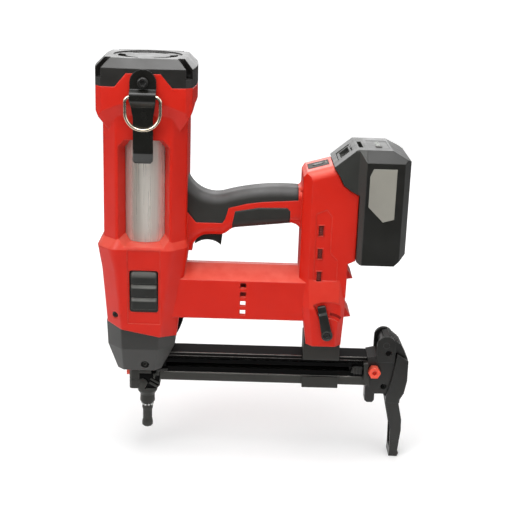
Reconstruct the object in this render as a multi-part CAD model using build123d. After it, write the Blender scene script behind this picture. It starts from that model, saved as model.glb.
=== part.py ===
from build123d import *
import os
from math import cos, pi, radians, sin

# Cordless concrete nailer with an air-spring drive.
# Millimetres. The origin is the centre of the muzzle's lower rim. +Z runs up the drive axis,
# +X runs back along the magazine and +Y to the tool's right-hand side.

# Walls, clearances and the reach of cutting solids past the outside
wall = 2.8
fit = 0.05
run = 0.06
gap = 0.4
seat = 0.3
far = 80.0

# Drive column, from its foot up to the seam under the cap
column_half = 38.0
column_cut = 13.0
column_soft = 5.0
column_low_z = 196.0
cap_seam_z = 342.0

# Flared head of the column
flare_half = 45.0
flare_cut = 8.0
flare_bulge = 2.6
flare_soft = 2.0
flare_height = 14.0
funnel_height = 12.0
corbel_start = 21.0
corbel_edge_drop = 22.0
corbel_tip_drop = 40.0
corbel_tip = 31.6
flare_low_z = cap_seam_z - flare_height
funnel_low_z = flare_low_z - funnel_height
corbel_edge_z = cap_seam_z - corbel_edge_drop
corbel_tip_z = cap_seam_z - corbel_tip_drop

# Top cap
cap_side = 16.0
cap_bevel = 8.0
cap_inset = 8.0
cap_roof = 5.0
notch_rise = 12.0
notch_top_half = 15.0
notch_low_half = 25.0
well_radius = 3.7
well_reach = 46.0
well_rise = 7.5
dish_radius = 31.0
dish_depth = 1.0
cap_bevel_z = cap_seam_z + cap_side
cap_top_z = cap_bevel_z + cap_bevel
cap_top_half = flare_half - cap_inset
well_floor_z = cap_seam_z + well_rise

# Window that shows the cylinder tube
window_half = 18.0
window_low_z = 200.0
window_head_drop = 50.0
window_corner = 6.0
window_splay_wide = 8.0
window_splay_tall = 4.5
window_high_z = cap_seam_z - window_head_drop

# Lower bulge of the column
bulge_top_z = 206.0
bulge_wide_z = 194.0
bulge_wide_front = -44.0
bulge_wide_rear = 40.0
bulge_wide_half = 42.0
bulge_crease_z = 172.0
bulge_crease_front = -40.2
bulge_crease_rear = 37.0
bulge_crease_half = 39.8
bulge_low_z = 98.0
bulge_low_front = -34.5
bulge_low_rear = 28.5
bulge_low_half = 35.0
bulge_cut = 15.0
bulge_low_soft = 2.5
bulge_crease_soft = 7.0
bulge_wide_soft = 13.0
bulge_top_soft = 8.0
parting_z = 110.5
parting_slope = -0.2
strip_half = 15.0
strip_low_z = 121.0
strip_depth = 0.7
bulge_well_x = -27.5
bulge_well_z = 127.5
bulge_well_radius = 3.2
bulge_well_floor = -28.6

# Side pads
pad_half = 12.6
pad_low_z = 133.5
pad_high_z = 173.5
pad_floor = 34.8
pad_proud = 0.8
pad_ease = 0.7

# Bridge between the bulge and the rear housing
bridge_half = 28.0
bridge_low_z = 125.5
bridge_eave_z = 163.0
bridge_ridge_z = 172.5
bridge_front = 20.0
bridge_rear = 152.0
vent_x = 91.5
vent_size = 5.2
vent_pitch = 8.8
vent_low_z = 132.0
vent_count = 4

# Handle
handle_half = 15.5
handle_soft = 9.0
handle_root_x = 30.0
handle_end_x = 148.0
handle_room = 9.0
handle_room_low = 216.0
handle_room_high = 234.0
wire_room = 5.0
wire_room_tall = 10.0
grip_skin = 2.4
grip_left = 35.3
grip_right = 140.0

# Rear housing
rear_front = 143.5
rear_brow_x = 147.0
rear_brow_z = 267.0
rear_peak_x = 170.0
rear_peak_z = 273.5
rear_back = 194.0
rear_half = 29.0
rear_soft = 9.0
rear_front_cut = 8.0
rear_foot_half = 35.0
rear_foot_z = 140.0
rear_step_z = 163.0
rear_low_z = 103.0
rear_panel_depth = 0.6
rear_slot_x = 161.4
rear_slot_wide = 4.2
rear_slot_tall = 9.6
rear_slot_depth = 1.6
rear_slot_z = (214.0, 192.0, 170.0)
hook_half = 17.0
hook_z = (164.0, 126.0)

# Screws that close the housing from the far side, and the cap and nose screws
screw_radius = 1.6
screw_head_radius = 2.7
screw_head_height = 2.4
screw_seat_y = 20.0
screw_end_y = -10.0
boss_radius = 4.2
cap_screw_length = 20.5
column_screw_x = column_half - 3.8
column_screw_z = (column_low_z + 18, cap_seam_z - 36)
column_screws = [(side * column_screw_x, z) for z in column_screw_z for side in (-1, 1)]
rear_screws = [(152.0, 250.0), (188.0, 205.0)]

# Drive cylinder and moving driver
tube_radius = 30.0
tube_wall = 2.5
tube_low_z = 198.0
tube_head_gap = 10.0
head_lip = 5.0
head_height = 8.0
cap_bore_gap = 3.0
base_lip = 3.0
base_height = 14.0
bump_height = 24.0
piston_drop = 32.0
piston_height = 14.0
seal_width = 4.0
seal_depth = 2.2
driver_tip_z = 78.0
rod_radius = 3.12
rack_low_z = 158.0
rack_half_width = 4.0
rack_half_thickness = 2.5
tooth_count = 5
tooth_height = 4.0
tooth_root = 5.0
tooth_tip = 3.0
valve_radius = 6.0
valve_height = 15.0
tube_high_z = cap_seam_z - tube_head_gap
head_radius = tube_radius + head_lip
cap_bore_radius = head_radius + cap_bore_gap
base_radius = tube_radius + base_lip
piston_low_z = tube_high_z - piston_drop
piston_radius = tube_radius - tube_wall - seat

# Lifter that raises the driver
lifter_z = 160.0
lifter_pin_circle = 14.0
lifter_pin_count = 6
lifter_pin_radius = 2.0
lifter_rim = 2.8
lifter_disc_inner = 5.5
lifter_disc_outer = 9.0
lifter_hub_radius = 6.5
lifter_shaft_radius = 4.0
bearing_radius = 8.0
cheek_inner = 12.0
cheek_outer = 17.0
lifter_x = rack_half_width + lifter_pin_radius + lifter_pin_circle
lifter_disc_radius = lifter_pin_circle + lifter_rim

# Motor in the bridge
motor_z = 146.5
motor_radius = 17.0
motor_wall = 2.0
motor_front = 98.0
motor_rear = 138.0
motor_shaft_radius = 2.5
gearbox_front = 40.0
gearbox_rear = 64.0
gearbox_radius = 16.5
fan_front = 141.0
fan_rear = 147.0
fan_radius = 14.5
fan_hub_radius = 5.0
fan_blades = 7

# Trigger
trigger_half = 6.4
trigger_pin_x = 49.5
trigger_pin_z = 204.8
trigger_pin_radius = 1.5
trigger_pin_half = 11.0

# Control panel on the rear housing
panel_place = 0.46
panel_long = 19.6
panel_wide = 21.0
panel_thick = 2.0
button_long = 9.0
button_wide = 5.0

# Selector lever
lever_shaft_radius = 3.0
lever_shaft_length = 9.0
lever_x = 171.0
lever_z = 115.0
lever_reach = 29.0
lever_lean = 13.0
lever_swing = 40.0
lever_margin = 13.0
lever_thick = 3.4
lever_sink = 2.2

# Hanger strap and its ring
strap_thick = 2.0
strap_half = 11.6
tongue_half = 8.8
strap_rise = 16.0
strap_drop = 66.0
hanger_screw_rise = 4.6
hanger_screw_radius = 2.4
hanger_head_radius = 4.8
ring_off = 3.8
ring_sink = 7.6
ring_half = 15.4
ring_wire = 1.5
ring_drop = 29.0
ring_corner = 4.4
ring_ease = 0.6
strap_top_z = cap_seam_z + strap_rise
strap_low_z = cap_seam_z - strap_drop
hanger_screw_z = cap_seam_z + hanger_screw_rise
ring_bar_y = -flare_half - ring_off
ring_bar_z = cap_seam_z - ring_sink

# Nose housing
nose_front = -37.0
nose_rear = 29.0
nose_half = 34.5
nose_top_z = 121.0
nose_crease_z = 94.0
nose_low_z = 69.0
nose_low_front = -27.0
nose_low_rear = 15.0
nose_low_half = 23.7
nose_cut = 15.0
nose_low_cut = 6.5
nose_soft = 2.5
nose_wall = 3.0

# Nose block and contact tip
muzzle_bore = 3.2
tip_radius = 5.4
tip_neck_radius = 4.6
tip_travel = 8.0
tip_shank_radius = 6.3
tip_shank_high_z = 40.0
ball_ring_z = 24.0
ball_ring_radius = 5.05
ball_radius = 1.25
ball_count = 10
collar_radius = 9.7
collar_top_z = 43.0
collar_low_z = 26.5
collar_low_radius = 7.4
nose_block_half = 11.0
nose_block_high_z = 80.0
front_plate_front = -16.7
front_plate_rear = -7.4
front_plate_low_z = 44.0
front_plate_high_z = 72.0
nose_screw_z = 76.0
nose_screw_seat = 22.0
nose_well_radius = 4.0
jam_radius = 3.8
jam_z = 58.0
jam_end = -13.0
jam_proud = 3.4

# Magazine
magazine_front = 13.0
magazine_rear = 214.0
magazine_half = 11.5
magazine_low_z = 54.0
magazine_high_z = 84.0
rail_wall = 2.0
rail_lip = 4.0
rail_groove = 2.6
rail_slot_half = 3.0
track_low_z = 63.6
track_high_z = 76.6
liner_inset = 0.5
liner_thick = 2.2
slot_low_z = 68.4
slot_high_z = 73.0
pusher_back = 17.0
pusher_length = 14.0
bracket_front = 151.0
bracket_rear = 186.0
bracket_half = 14.0
bracket_floor = 2.4
track_half = magazine_half - liner_inset
pusher_front = magazine_rear - pusher_back

# Magazine end block, release button and support leg
end_overlap = 0.5
end_length = 27.0
end_half = 13.0
end_high_z = 86.0
end_low_z = 46.5
ear_inner = 11.5
ear_outer = 15.0
ear_inset = 9.5
ear_pin_z = 97.5
ear_radius = 9.0
ear_pin_radius = 3.0
release_place = 6.6
release_z = 70.6
release_across = 10.5
release_travel = 4.0
release_depth = 3.0
release_proud = 7.0
lock_hole_radius = 3.1
leg_wall = 2.2
leg_half = 15.7
leg_low_half = 10.0
leg_waist_z = 42.0
leg_foot_z = -22.0
end_front = magazine_rear - end_overlap
end_rear = end_front + end_length
ear_pin_x = end_rear - ear_inset
release_x = magazine_rear + release_place

# Battery pack and the rail that it slides on
saddle_gap = 0.5
pack_half = 37.5
pack_corner = 6.5
pack_seam = 199.0
pack_rear = 239.0
pack_low_z = 184.5
pack_high_z = 290.5
pack_ridge_x = 190.5
latch_long = 15.0
latch_wide = 31.0
latch_deep = 9.6
gauge_x = 211.0
gauge_y = -2.0
gauge_long = 19.0
gauge_wide = 36.0
gauge_deep = 1.2
gauge_button_radius = 3.0
gauge_button_y = gauge_y - 11.0
lamp_half_long = 2.0
lamp_half_wide = 1.2
lamp_y = [gauge_y - 3.0 + 5.0 * step for step in range(4)]
label_thick = 0.4
rail_low_z = 190.0
rail_high_z = 240.0
rail_stem_half = 17.0
rail_head_half = 22.0
rail_stem = 2.5
rail_head = 3.0
pack_front = rear_back + saddle_gap


def plate(points, y_low, y_high, soft=0.0):
    """Closed outline in X and Z, extruded from y_low to y_high, with corners rounded by soft."""
    face = make_face(Plane.XZ * Polyline(*points, close=True))
    if soft:
        face = fillet(face.vertices(), soft)
    return extrude(Pos(0, y_low, 0) * face, y_high - y_low, dir=(0, 1, 0))


def bar(points, x_low, x_high, soft=0.0):
    """Closed outline in Y and Z, extruded from x_low to x_high, with corners rounded by soft."""
    face = make_face(Plane.YZ * Polyline(*points, close=True))
    if soft:
        face = fillet(face.vertices(), soft)
    return extrude(Pos(x_low, 0, 0) * face, x_high - x_low, dir=(1, 0, 0))


def block(x_low, x_high, y_low, y_high, z_low, z_high):
    """Rectangular block between the given limits."""
    centre = Pos((x_low + x_high) / 2, (y_low + y_high) / 2, (z_low + z_high) / 2)
    return centre * Box(x_high - x_low, y_high - y_low, z_high - z_low)


def rod_z(radius, z_low, z_high, x=0.0, y=0.0):
    """Upright cylinder."""
    return Pos(x, y, (z_low + z_high) / 2) * Cylinder(radius, z_high - z_low)


def rod_y(radius, y_low, y_high, x, z):
    """Cylinder along Y."""
    return Pos(x, (y_low + y_high) / 2, z) * Rot(90, 0, 0) * Cylinder(radius, y_high - y_low)


def rod_x(radius, x_low, x_high, y, z):
    """Cylinder along X."""
    return Pos((x_low + x_high) / 2, y, z) * Rot(0, 90, 0) * Cylinder(radius, x_high - x_low)


def turned(points):
    """Solid turned about the Z axis from a closed outline of radius and height."""
    face = make_face(Plane.XZ * Polyline(*points, close=True))
    return revolve(face, Axis.Z)


def cut_corners(x_low, x_high, half, corner, soft, z):
    """Rectangle at height z whose corners are cut off and then rounded."""
    face = Rectangle(x_high - x_low, 2 * half)
    face = chamfer(face.vertices(), corner)
    face = fillet(face.vertices(), soft)
    return Pos((x_low + x_high) / 2, 0, z) * face


def slope_plane(start, end, share):
    """Plane on the straight slope between two points in X and Z, at a share of its length."""
    run_x = end[0] - start[0]
    rise = end[1] - start[1]
    origin = (start[0] + share * run_x, 0, start[1] + share * rise)
    return Plane(origin=origin, x_dir=(run_x, 0, rise), z_dir=(-rise, 0, run_x))


def mirrored(part):
    """The same part on the other side of the tool's middle plane."""
    return mirror(part, Plane.XZ)


def both_sides(part):
    """A part together with its mirror image."""
    return part + mirrored(part)


def span(side, inner, outer):
    """Lower and upper Y of the stretch between two distances from the middle plane, on one side."""
    return sorted((side * inner, side * outer))


# Housing forms

def column_form():
    """Drive column between the bulge and the flare."""
    face = cut_corners(-column_half, column_half, column_half, column_cut, column_soft, column_low_z)
    return extrude(face, cap_seam_z - 1 - column_low_z, dir=(0, 0, 1))


def quarter_turned(point, count):
    """Point in X and Y after a number of quarter turns about the drive axis."""
    x, y = point
    for _ in range(count):
        x, y = -y, x
    return (x, y)


def flare_section(half, z):
    """Outline of the head at height z, with bulged sides and cut corners."""
    scale = half / flare_half
    side = half - flare_bulge * scale
    edge = half - flare_cut * scale
    lines = []
    for count in range(4):
        points = [(-edge, -side), (0, -half), (edge, -side), (side, -edge)]
        start, middle, end, corner = [quarter_turned(point, count) for point in points]
        lines += [ThreePointArc(start, middle, end), Line(end, corner)]
    face = make_face(Curve(lines))
    return Pos(0, 0, z) * fillet(face.vertices(), flare_soft)


def above_plane(part, first, second, third):
    """What lies above the plane through three points."""
    normal = (Vector(second) - Vector(first)).cross(Vector(third) - Vector(first))
    if normal.Z < 0:
        normal = -normal
    return split(part, bisect_by=Plane(origin=first, z_dir=normal), keep=Keep.TOP)


def corner_corbel():
    """Block that tapers to a point under the near left corner of the head."""
    start = -corbel_start
    tip = (-corbel_tip, -corbel_tip, corbel_tip_z)
    corbel = extrude(flare_section(flare_half, corbel_tip_z), flare_low_z - corbel_tip_z, dir=(0, 0, 1))
    corbel &= block(-far, start, -far, start, corbel_tip_z, flare_low_z)
    edge = -flare_half + flare_cut
    side = -flare_half + flare_bulge
    corbel = above_plane(corbel, (start, -flare_half, flare_low_z), (edge, side, corbel_edge_z), tip)
    return above_plane(corbel, (-flare_half, start, flare_low_z), (side, edge, corbel_edge_z), tip)


def flare_form():
    """Flared head with a sloped underside and a corbel under each corner."""
    head = extrude(flare_section(flare_half, flare_low_z), flare_height, dir=(0, 0, 1))
    foot = cut_corners(-column_half, column_half, column_half, column_cut, column_soft, funnel_low_z)
    rim = cut_corners(-flare_half, flare_half, flare_half, column_cut, column_soft, flare_low_z)
    funnel = loft([foot, rim], ruled=True)
    funnel &= extrude(flare_section(flare_half, funnel_low_z), funnel_height, dir=(0, 0, 1))
    corbels = corner_corbel()
    corbels += mirror(corbels, Plane.YZ)
    return head + funnel + both_sides(corbels)


def notch_form(ease, depth):
    """Trapezium tongue that stands above the seam on the near face."""
    points = [(-notch_low_half - ease, cap_seam_z - ease - 1),
              (-notch_low_half - ease, cap_seam_z),
              (-notch_top_half - ease, cap_seam_z + notch_rise + ease),
              (notch_top_half + ease, cap_seam_z + notch_rise + ease),
              (notch_low_half + ease, cap_seam_z),
              (notch_low_half + ease, cap_seam_z - ease - 1)]
    return plate(points, -far, -flare_half + depth)


def head_tongues():
    """Near and far tongues of the head, cut to its bulged sides."""
    head = extrude(flare_section(flare_half, cap_seam_z - 2), notch_rise + 2, dir=(0, 0, 1))
    return both_sides(notch_form(0, 6) & head)


def bulge_form(inset):
    """Lower bulge of the column, smaller by inset on all sides."""
    top = column_half - 0.5
    levels = [(bulge_low_front, bulge_low_rear, bulge_low_half, bulge_low_soft, bulge_low_z),
              (bulge_crease_front, bulge_crease_rear, bulge_crease_half, bulge_crease_soft, bulge_crease_z),
              (bulge_wide_front, bulge_wide_rear, bulge_wide_half, bulge_wide_soft, bulge_wide_z),
              (-top, top, top, bulge_top_soft, bulge_top_z)]
    sections = []
    for front, rear, half, soft, z in levels:
        sections.append(cut_corners(front + inset, rear - inset, half - inset, bulge_cut, soft, z))
    return loft(sections, ruled=True)


def above_parting(z_high):
    """Everything between the slanted parting plane and z_high."""
    points = [(-far, parting_z - parting_slope * far), (far, parting_z + parting_slope * far),
              (far, z_high), (-far, z_high)]
    return plate(points, -far, far)


def bridge_form(inset):
    """Bridge with a roof-shaped top."""
    half = bridge_half - inset
    ridge_half = 3.0
    points = [(-half, bridge_low_z + inset), (half, bridge_low_z + inset), (half, bridge_eave_z - inset / 2),
              (ridge_half, bridge_ridge_z - inset), (-ridge_half, bridge_ridge_z - inset),
              (-half, bridge_eave_z - inset / 2)]
    return bar(points, bridge_front, bridge_rear)


def handle_face(inset):
    """Side outline of the handle and the trigger's shroud, with top and underside moved in by inset."""
    def upper(x, z):
        return (x, z - inset)

    def lower(x, z):
        return (x, z + inset)

    root = Polyline(upper(26, 276), upper(31.6, 276), upper(37, 260))
    web = ThreePointArc(upper(37, 260), upper(47, 246.2), upper(72, 241.75))
    back = TangentArc(upper(72, 241.75), upper(152, 248), tangent=(1, 0.2925))
    rear = Polyline(upper(152, 248), lower(152, 204), lower(147, 204))
    under_rear = RadiusArc(lower(147, 204), lower(138, 215.6), -8.6)
    under = FilletPolyline(lower(138, 215.6), lower(80, 209), lower(72, 202.2), lower(58, 202), radius=11)
    shroud = TangentArc(lower(58, 202), lower(42.5, 185.5), tangent=(-14, -0.2))
    close = Polyline(lower(42.5, 185.5), lower(26, 185.5), upper(26, 276))
    return make_face(Plane.XZ * Curve([root, web, back, rear, under_rear, under, shroud, close]))


def along_handle(part):
    """Long side edges of a handle form, clear of the column and the rear housing."""
    edges = part.faces().filter_by(Axis.Y).edges()
    return [edge for edge in edges if handle_root_x < edge.center().X < handle_end_x]


def handle_form(inset):
    """Handle with rounded long edges, smaller by inset on all sides."""
    half = handle_half - inset
    body = extrude(Pos(0, -half, 0) * handle_face(inset), 2 * half, dir=(0, 1, 0))
    return fillet(along_handle(body), handle_soft - inset)


def upper_grip_zone():
    """Side outline of the rubber on top of the handle."""
    points = [(grip_left, 300), (grip_left, 228), (46, 215), (70.5, 215), (73, 219), (76, 229.5),
              (92, 234), (107, 236.2), (grip_right, 238.6), (grip_right, 300)]
    return plate(points, -far, far)


def lower_grip_zone():
    """Side outline of the rubber under the handle."""
    points = [(79.5, 190), (79.5, 214), (82, 226.6), (103.5, 230.6), (130, 231.2), (133, 228), (133, 190)]
    return plate(points, -far, far)


def saddle_points(ease):
    """Curved back of the rear housing, from its peak down, that the battery sits over."""
    points = [(rear_peak_x, rear_peak_z), (175, 266), (179.5, 257), (187, 251.5), (rear_back, 248)]
    return [(x + ease, z + ease) for x, z in points]


def rear_face():
    """Side outline of the rear housing above its foot."""
    return make_face(Plane.XZ * Polyline(
        (rear_front, 150), (rear_front, rear_brow_z - 5), (rear_brow_x, rear_brow_z), *saddle_points(0),
        (rear_back, 186), (187.5, 183), (187, 150), close=True))


def rear_upper_form(inset):
    """Upper rear housing, with its front corners cut and its top edges rounded."""
    half = rear_half - inset
    face = offset(rear_face(), -inset) if inset else rear_face()
    body = extrude(Pos(0, -half, 0) * face, 2 * half, dir=(0, 1, 0))
    plan = chamfer(Rectangle(2 * far, 2 * half).vertices(), rear_front_cut - inset / 2)
    body &= extrude(Pos(rear_front + inset + far, 0, 0) * plan, 5 * far, dir=(0, 0, 1))
    if inset:
        return body
    crown = body.faces().filter_by(Axis.Y).edges().filter_by(lambda edge: edge.center().Z > rear_brow_z - 3)
    crown = [edge for edge in crown if edge.center().X < rear_peak_x + 1]
    return fillet(crown, rear_soft)


def rear_foot_form(inset):
    """Wider foot of the rear housing."""
    levels = [(rear_front + 8.5, 185, rear_foot_half, rear_low_z + inset),
              (rear_front + 4, 187, rear_foot_half, rear_foot_z),
              (rear_front + 2, 187, rear_half, rear_step_z + 4)]
    sections = []
    for front, rear, half, z in levels:
        sections.append(cut_corners(front + inset, rear - inset, half - inset, 6, 1.5, z))
    return loft(sections, ruled=True)


def rear_hooks():
    """Two wedge lugs on the back of the rear housing."""
    lugs = Part()
    for z in hook_z:
        lugs += plate([(184, z), (194, z + 1.5), (187, z + 12.5), (184, z + 12.5)], -hook_half, hook_half)
    return lugs


def housing_outer():
    """Outside of the closed housing."""
    outer = column_form() + flare_form() + head_tongues()
    outer += bulge_form(0) & above_parting(bulge_top_z + 1)
    outer += bridge_form(0)
    outer += rear_upper_form(0)
    outer += rear_foot_form(0)
    outer += rear_hooks()
    outer += handle_form(0)
    return outer


def window_cut():
    """Splayed opening from the column's face to the tube, on the near side."""
    inner_y = -((tube_radius ** 2 - window_half ** 2) ** 0.5) - 0.5
    outer_y = -column_half - 8
    sections = []
    for y, wide, tall in ((inner_y, 0, 0), (outer_y, window_splay_wide, window_splay_tall)):
        half = window_half + wide
        low = window_low_z - tall
        high = window_high_z + tall
        outline = Polyline((-half, low), (half, low), (half, high), (-half, high), close=True)
        face = make_face(Plane.XZ * outline)
        sections.append(Pos(0, y, 0) * chamfer(face.vertices(), window_corner))
    return loft(sections, ruled=True)


def strip_recess():
    """Shallow strip down the near face of the bulge, round the pad."""
    skin = bulge_form(0) - bulge_form(strip_depth)
    return skin & block(-strip_half, strip_half, -far, 0, strip_low_z, bulge_wide_z)


def rear_recess():
    """Shallow panel in the near side of the rear housing, with three slots in it."""
    outline = [(-5, 166), (-5, 229.5), (4.5, 234), (9.5, 227.5), (9.5, 192.5), (16.5, 186), (16.5, 166)]
    points = [(rear_slot_x + x, z) for x, z in outline]
    recess = plate(points, -far, -rear_half + rear_panel_depth)
    low_x = rear_slot_x - rear_slot_wide / 2
    for z in rear_slot_z:
        recess += block(low_x, low_x + rear_slot_wide, -far, -rear_half + rear_slot_depth,
                        z - rear_slot_tall / 2, z + rear_slot_tall / 2)
    return recess


def housing_cavity():
    """Room inside the housing for the drive, the motor and the electrics."""
    base_low = tube_low_z - base_height
    cavity = rod_z(tube_radius + seat, tube_low_z - 1, tube_high_z + 1)
    cavity += rod_z(base_radius + seat, base_low - 1, tube_low_z)
    cavity += rod_z(head_radius + seat, tube_high_z, cap_seam_z + far)
    cavity += bulge_form(wall) & block(-far, far, -far, far, bulge_low_z - 1, base_low)
    cavity += bridge_form(wall) & block(bridge_front + 10, bridge_rear - 3, -far, far, 0, bridge_ridge_z)
    cavity += rear_upper_form(wall) & block(rear_front, rear_back, -far, far, 160, 262)
    cavity += rear_foot_form(wall)
    lifter_room = lifter_disc_outer + 2 * gap
    cavity += rod_y(lifter_disc_radius + 2 * gap, -lifter_room, lifter_room, lifter_x, lifter_z)
    return cavity + handle_rooms()


def handle_rooms():
    """Rooms in the handle for the switch, its wires and the trigger."""
    rooms = block(44, 76, -handle_room, handle_room, handle_room_low, handle_room_high)
    rooms += block(75, 147, -wire_room, wire_room, handle_room_high - wire_room_tall, handle_room_high)
    trigger_room = trigger_half + gap
    return rooms + block(43.5, 73.5, -trigger_room, trigger_room, 180, handle_room_low + 1)


def housing_vents():
    """Square vents in the bridge's near side and a slot in its underside."""
    low = vent_x - vent_size / 2
    high = vent_x + vent_size / 2
    vents = block(low, high, -bridge_half + 5, bridge_half - 5, bridge_low_z - 5, bridge_low_z + 5)
    for step in range(vent_count):
        z = vent_low_z + step * vent_pitch
        vents += block(low, high, -far, 0, z - vent_size / 2, z + vent_size / 2)
    return vents


def boss_rods():
    """Bosses that carry the housing screws across the rear housing."""
    bosses = Part()
    for x, z in rear_screws:
        bosses += rod_y(boss_radius, -rear_foot_half + 1, rear_foot_half - 1, x, z)
    return bosses


def housing_screw_room():
    """Screw holes from the far side, with wells for the heads."""
    room = Part()
    for x, z in column_screws + rear_screws:
        room += rod_y(screw_head_radius + seat, screw_seat_y, far, x, z)
        room += rod_y(screw_radius + fit, screw_end_y - 1, screw_seat_y + 1, x, z)
    return room


def pad_outline(ease):
    """Rounded outline of the side pad, looking along Y."""
    half = pad_half + ease
    low = pad_low_z - ease
    high = pad_high_z + ease
    return plate([(-half, low), (half, low), (half, high), (-half, high)], -far, -pad_floor, 2.5)


def lever_sweep():
    """Shallow sector in the near face of the foot that the lever's end runs in, and the shaft's hole."""
    y_floor = -rear_foot_half + lever_sink
    ring = rod_y(lever_reach + 2.5, -far, y_floor, lever_x, lever_z)
    ring -= rod_y(lever_reach - 13, -far - 1, y_floor + 1, lever_x, lever_z)
    low = radians(-lever_lean - lever_margin)
    high = radians(lever_swing - lever_lean + lever_margin)
    points = [(lever_x, lever_z), (lever_x + far * sin(low), lever_z + far * cos(low)),
              (lever_x + far * sin(high), lever_z + far * cos(high))]
    sector = ring & plate(points, -far, 0)
    shaft_end = -rear_foot_half + lever_shaft_length
    return sector + rod_y(lever_shaft_radius + run, -far, shaft_end, lever_x, lever_z)


def cap_screw_places():
    """X and Y of the four screws that hold the cap."""
    reach = well_reach / 2 ** 0.5
    return [(x * reach, y * reach) for x in (-1, 1) for y in (-1, 1)]


def fitting_holes():
    """Holes in the housing for the pieces that are screwed, pinned or set into it."""
    holes = rod_y(trigger_pin_radius + fit, -trigger_pin_half, trigger_pin_half, trigger_pin_x, trigger_pin_z)
    holes += rod_y(hanger_screw_radius + fit, -far, -flare_half + 6, 0, hanger_screw_z)
    holes += rod_y(bulge_well_radius, -far, bulge_well_floor, bulge_well_x, bulge_well_z)
    for x, y in cap_screw_places():
        holes += rod_z(screw_radius + fit, well_floor_z - cap_screw_length - 1, cap_seam_z + 5, x, y)
    holes += panel_plane() * Pos(0, 0, -panel_thick / 2 + 10) * Box(panel_long, panel_wide, panel_thick + 20)
    return holes + panel_plane() * Pos(0, 0, -10) * Box(button_long + 3, button_wide + 3, 20)


def pack_rail():
    """T-shaped rail that the battery slides on."""
    stem_end = pack_front + rail_stem
    head_end = stem_end + rail_head
    rail = block(rear_back - 1, head_end, -rail_stem_half, rail_stem_half, rail_low_z, rail_high_z)
    return rail + block(stem_end, head_end, -rail_head_half, rail_head_half, rail_low_z, rail_high_z)


def whole_housing():
    """Both housing halves before they are parted."""
    outer = housing_outer()
    body = outer - housing_cavity()
    body += boss_rods() & outer
    body -= both_sides(window_cut())
    body -= both_sides(strip_recess())
    body -= both_sides(pad_outline(pad_ease))
    body -= both_sides(rear_recess())
    body -= upper_grip() + lower_grip()
    body -= housing_vents()
    body -= housing_screw_room()
    body -= lever_sweep()
    body -= fitting_holes()
    return body + pack_rail()


def near_half(part):
    """Half of a part on the near side of the middle plane."""
    return part & block(-5 * far, 5 * far, -5 * far, 0, -5 * far, 10 * far)


def far_half(part):
    """Half of a part on the far side of the middle plane."""
    return part & block(-5 * far, 5 * far, 0, 5 * far, -5 * far, 10 * far)


# Rubber skins

def upper_grip():
    """Rubber over the top of the handle."""
    return (handle_form(0) & upper_grip_zone()) - handle_form(grip_skin)


def lower_grip():
    """Rubber under the handle."""
    return (handle_form(0) & lower_grip_zone()) - handle_form(grip_skin)


def side_pad():
    """Ribbed rubber pad in the near side of the bulge."""
    def face_y(z):
        share = (z - bulge_low_z) / (bulge_crease_z - bulge_low_z)
        return -bulge_low_half - share * (bulge_crease_half - bulge_low_half) - pad_proud

    points = [(-pad_floor, pad_low_z - 1), (-pad_floor, pad_high_z + 1)]
    rib = (pad_high_z - pad_low_z) / 3
    for step in (2, 1, 0):
        low = pad_low_z + step * rib
        points += [(face_y(low + rib), low + rib), (face_y(low + 2), low + 2),
                   (face_y(low + 2) + 1.6, low + 1.6), (face_y(low) + 1.6, low)]
    points += [(-pad_floor - 1, pad_low_z - 1)]
    return bar(points, -far, far) & pad_outline(0)


# Top cap

def cap_well():
    """Well of a cap screw, open to the outside, before it is turned to its corner."""
    well = rod_z(well_radius, well_floor_z, cap_top_z + 5, well_reach, 0)
    well += block(well_reach, well_reach + far, -well_radius, well_radius, well_floor_z, cap_top_z + 5)
    return well + rod_z(screw_radius + fit, cap_seam_z - 1, well_floor_z + 1, well_reach, 0)


def cap_dish():
    """Dished top of the cap, with three deeper arcs in it."""
    arcs = rod_z(dish_radius - 4, cap_top_z - 3, cap_top_z)
    arcs -= rod_z(dish_radius - 11, cap_top_z - 4, cap_top_z + 1)
    for turn in (30, 150, 270):
        arcs -= Rot(0, 0, turn) * block(0, far, -7, 7, cap_top_z - 4, cap_top_z + 1)
    return arcs + rod_z(dish_radius, cap_top_z - dish_depth, cap_top_z + 1)


def top_cap():
    """Cap with bevelled crown, corner screw wells and a dished top."""
    cap = extrude(flare_section(flare_half, cap_seam_z), cap_side, dir=(0, 0, 1))
    cap += loft([flare_section(flare_half, cap_bevel_z), flare_section(cap_top_half, cap_top_z)], ruled=True)
    cap -= rod_z(cap_bore_radius, cap_seam_z - 1, cap_top_z - cap_roof)
    cap -= both_sides(notch_form(fit, 20))
    for turn in (45, 135, 225, 315):
        cap -= Rot(0, 0, turn) * cap_well()
    return cap - cap_dish()


def screw(length):
    """Screw that stands on the XY plane with its shank below."""
    return rod_z(screw_head_radius, 0, screw_head_height) + rod_z(screw_radius, -length, 0.5)


def cap_screws():
    """Four screws that hold the cap down."""
    return Compound([Pos(x, y, well_floor_z) * screw(cap_screw_length) for x, y in cap_screw_places()])


def housing_screws():
    """Screws that close the housing from the far side."""
    shank = screw_seat_y - screw_end_y
    places = column_screws + rear_screws
    return Compound([Pos(x, screw_seat_y, z) * Rot(-90, 0, 0) * screw(shank) for x, z in places])


# Hanger

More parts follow.
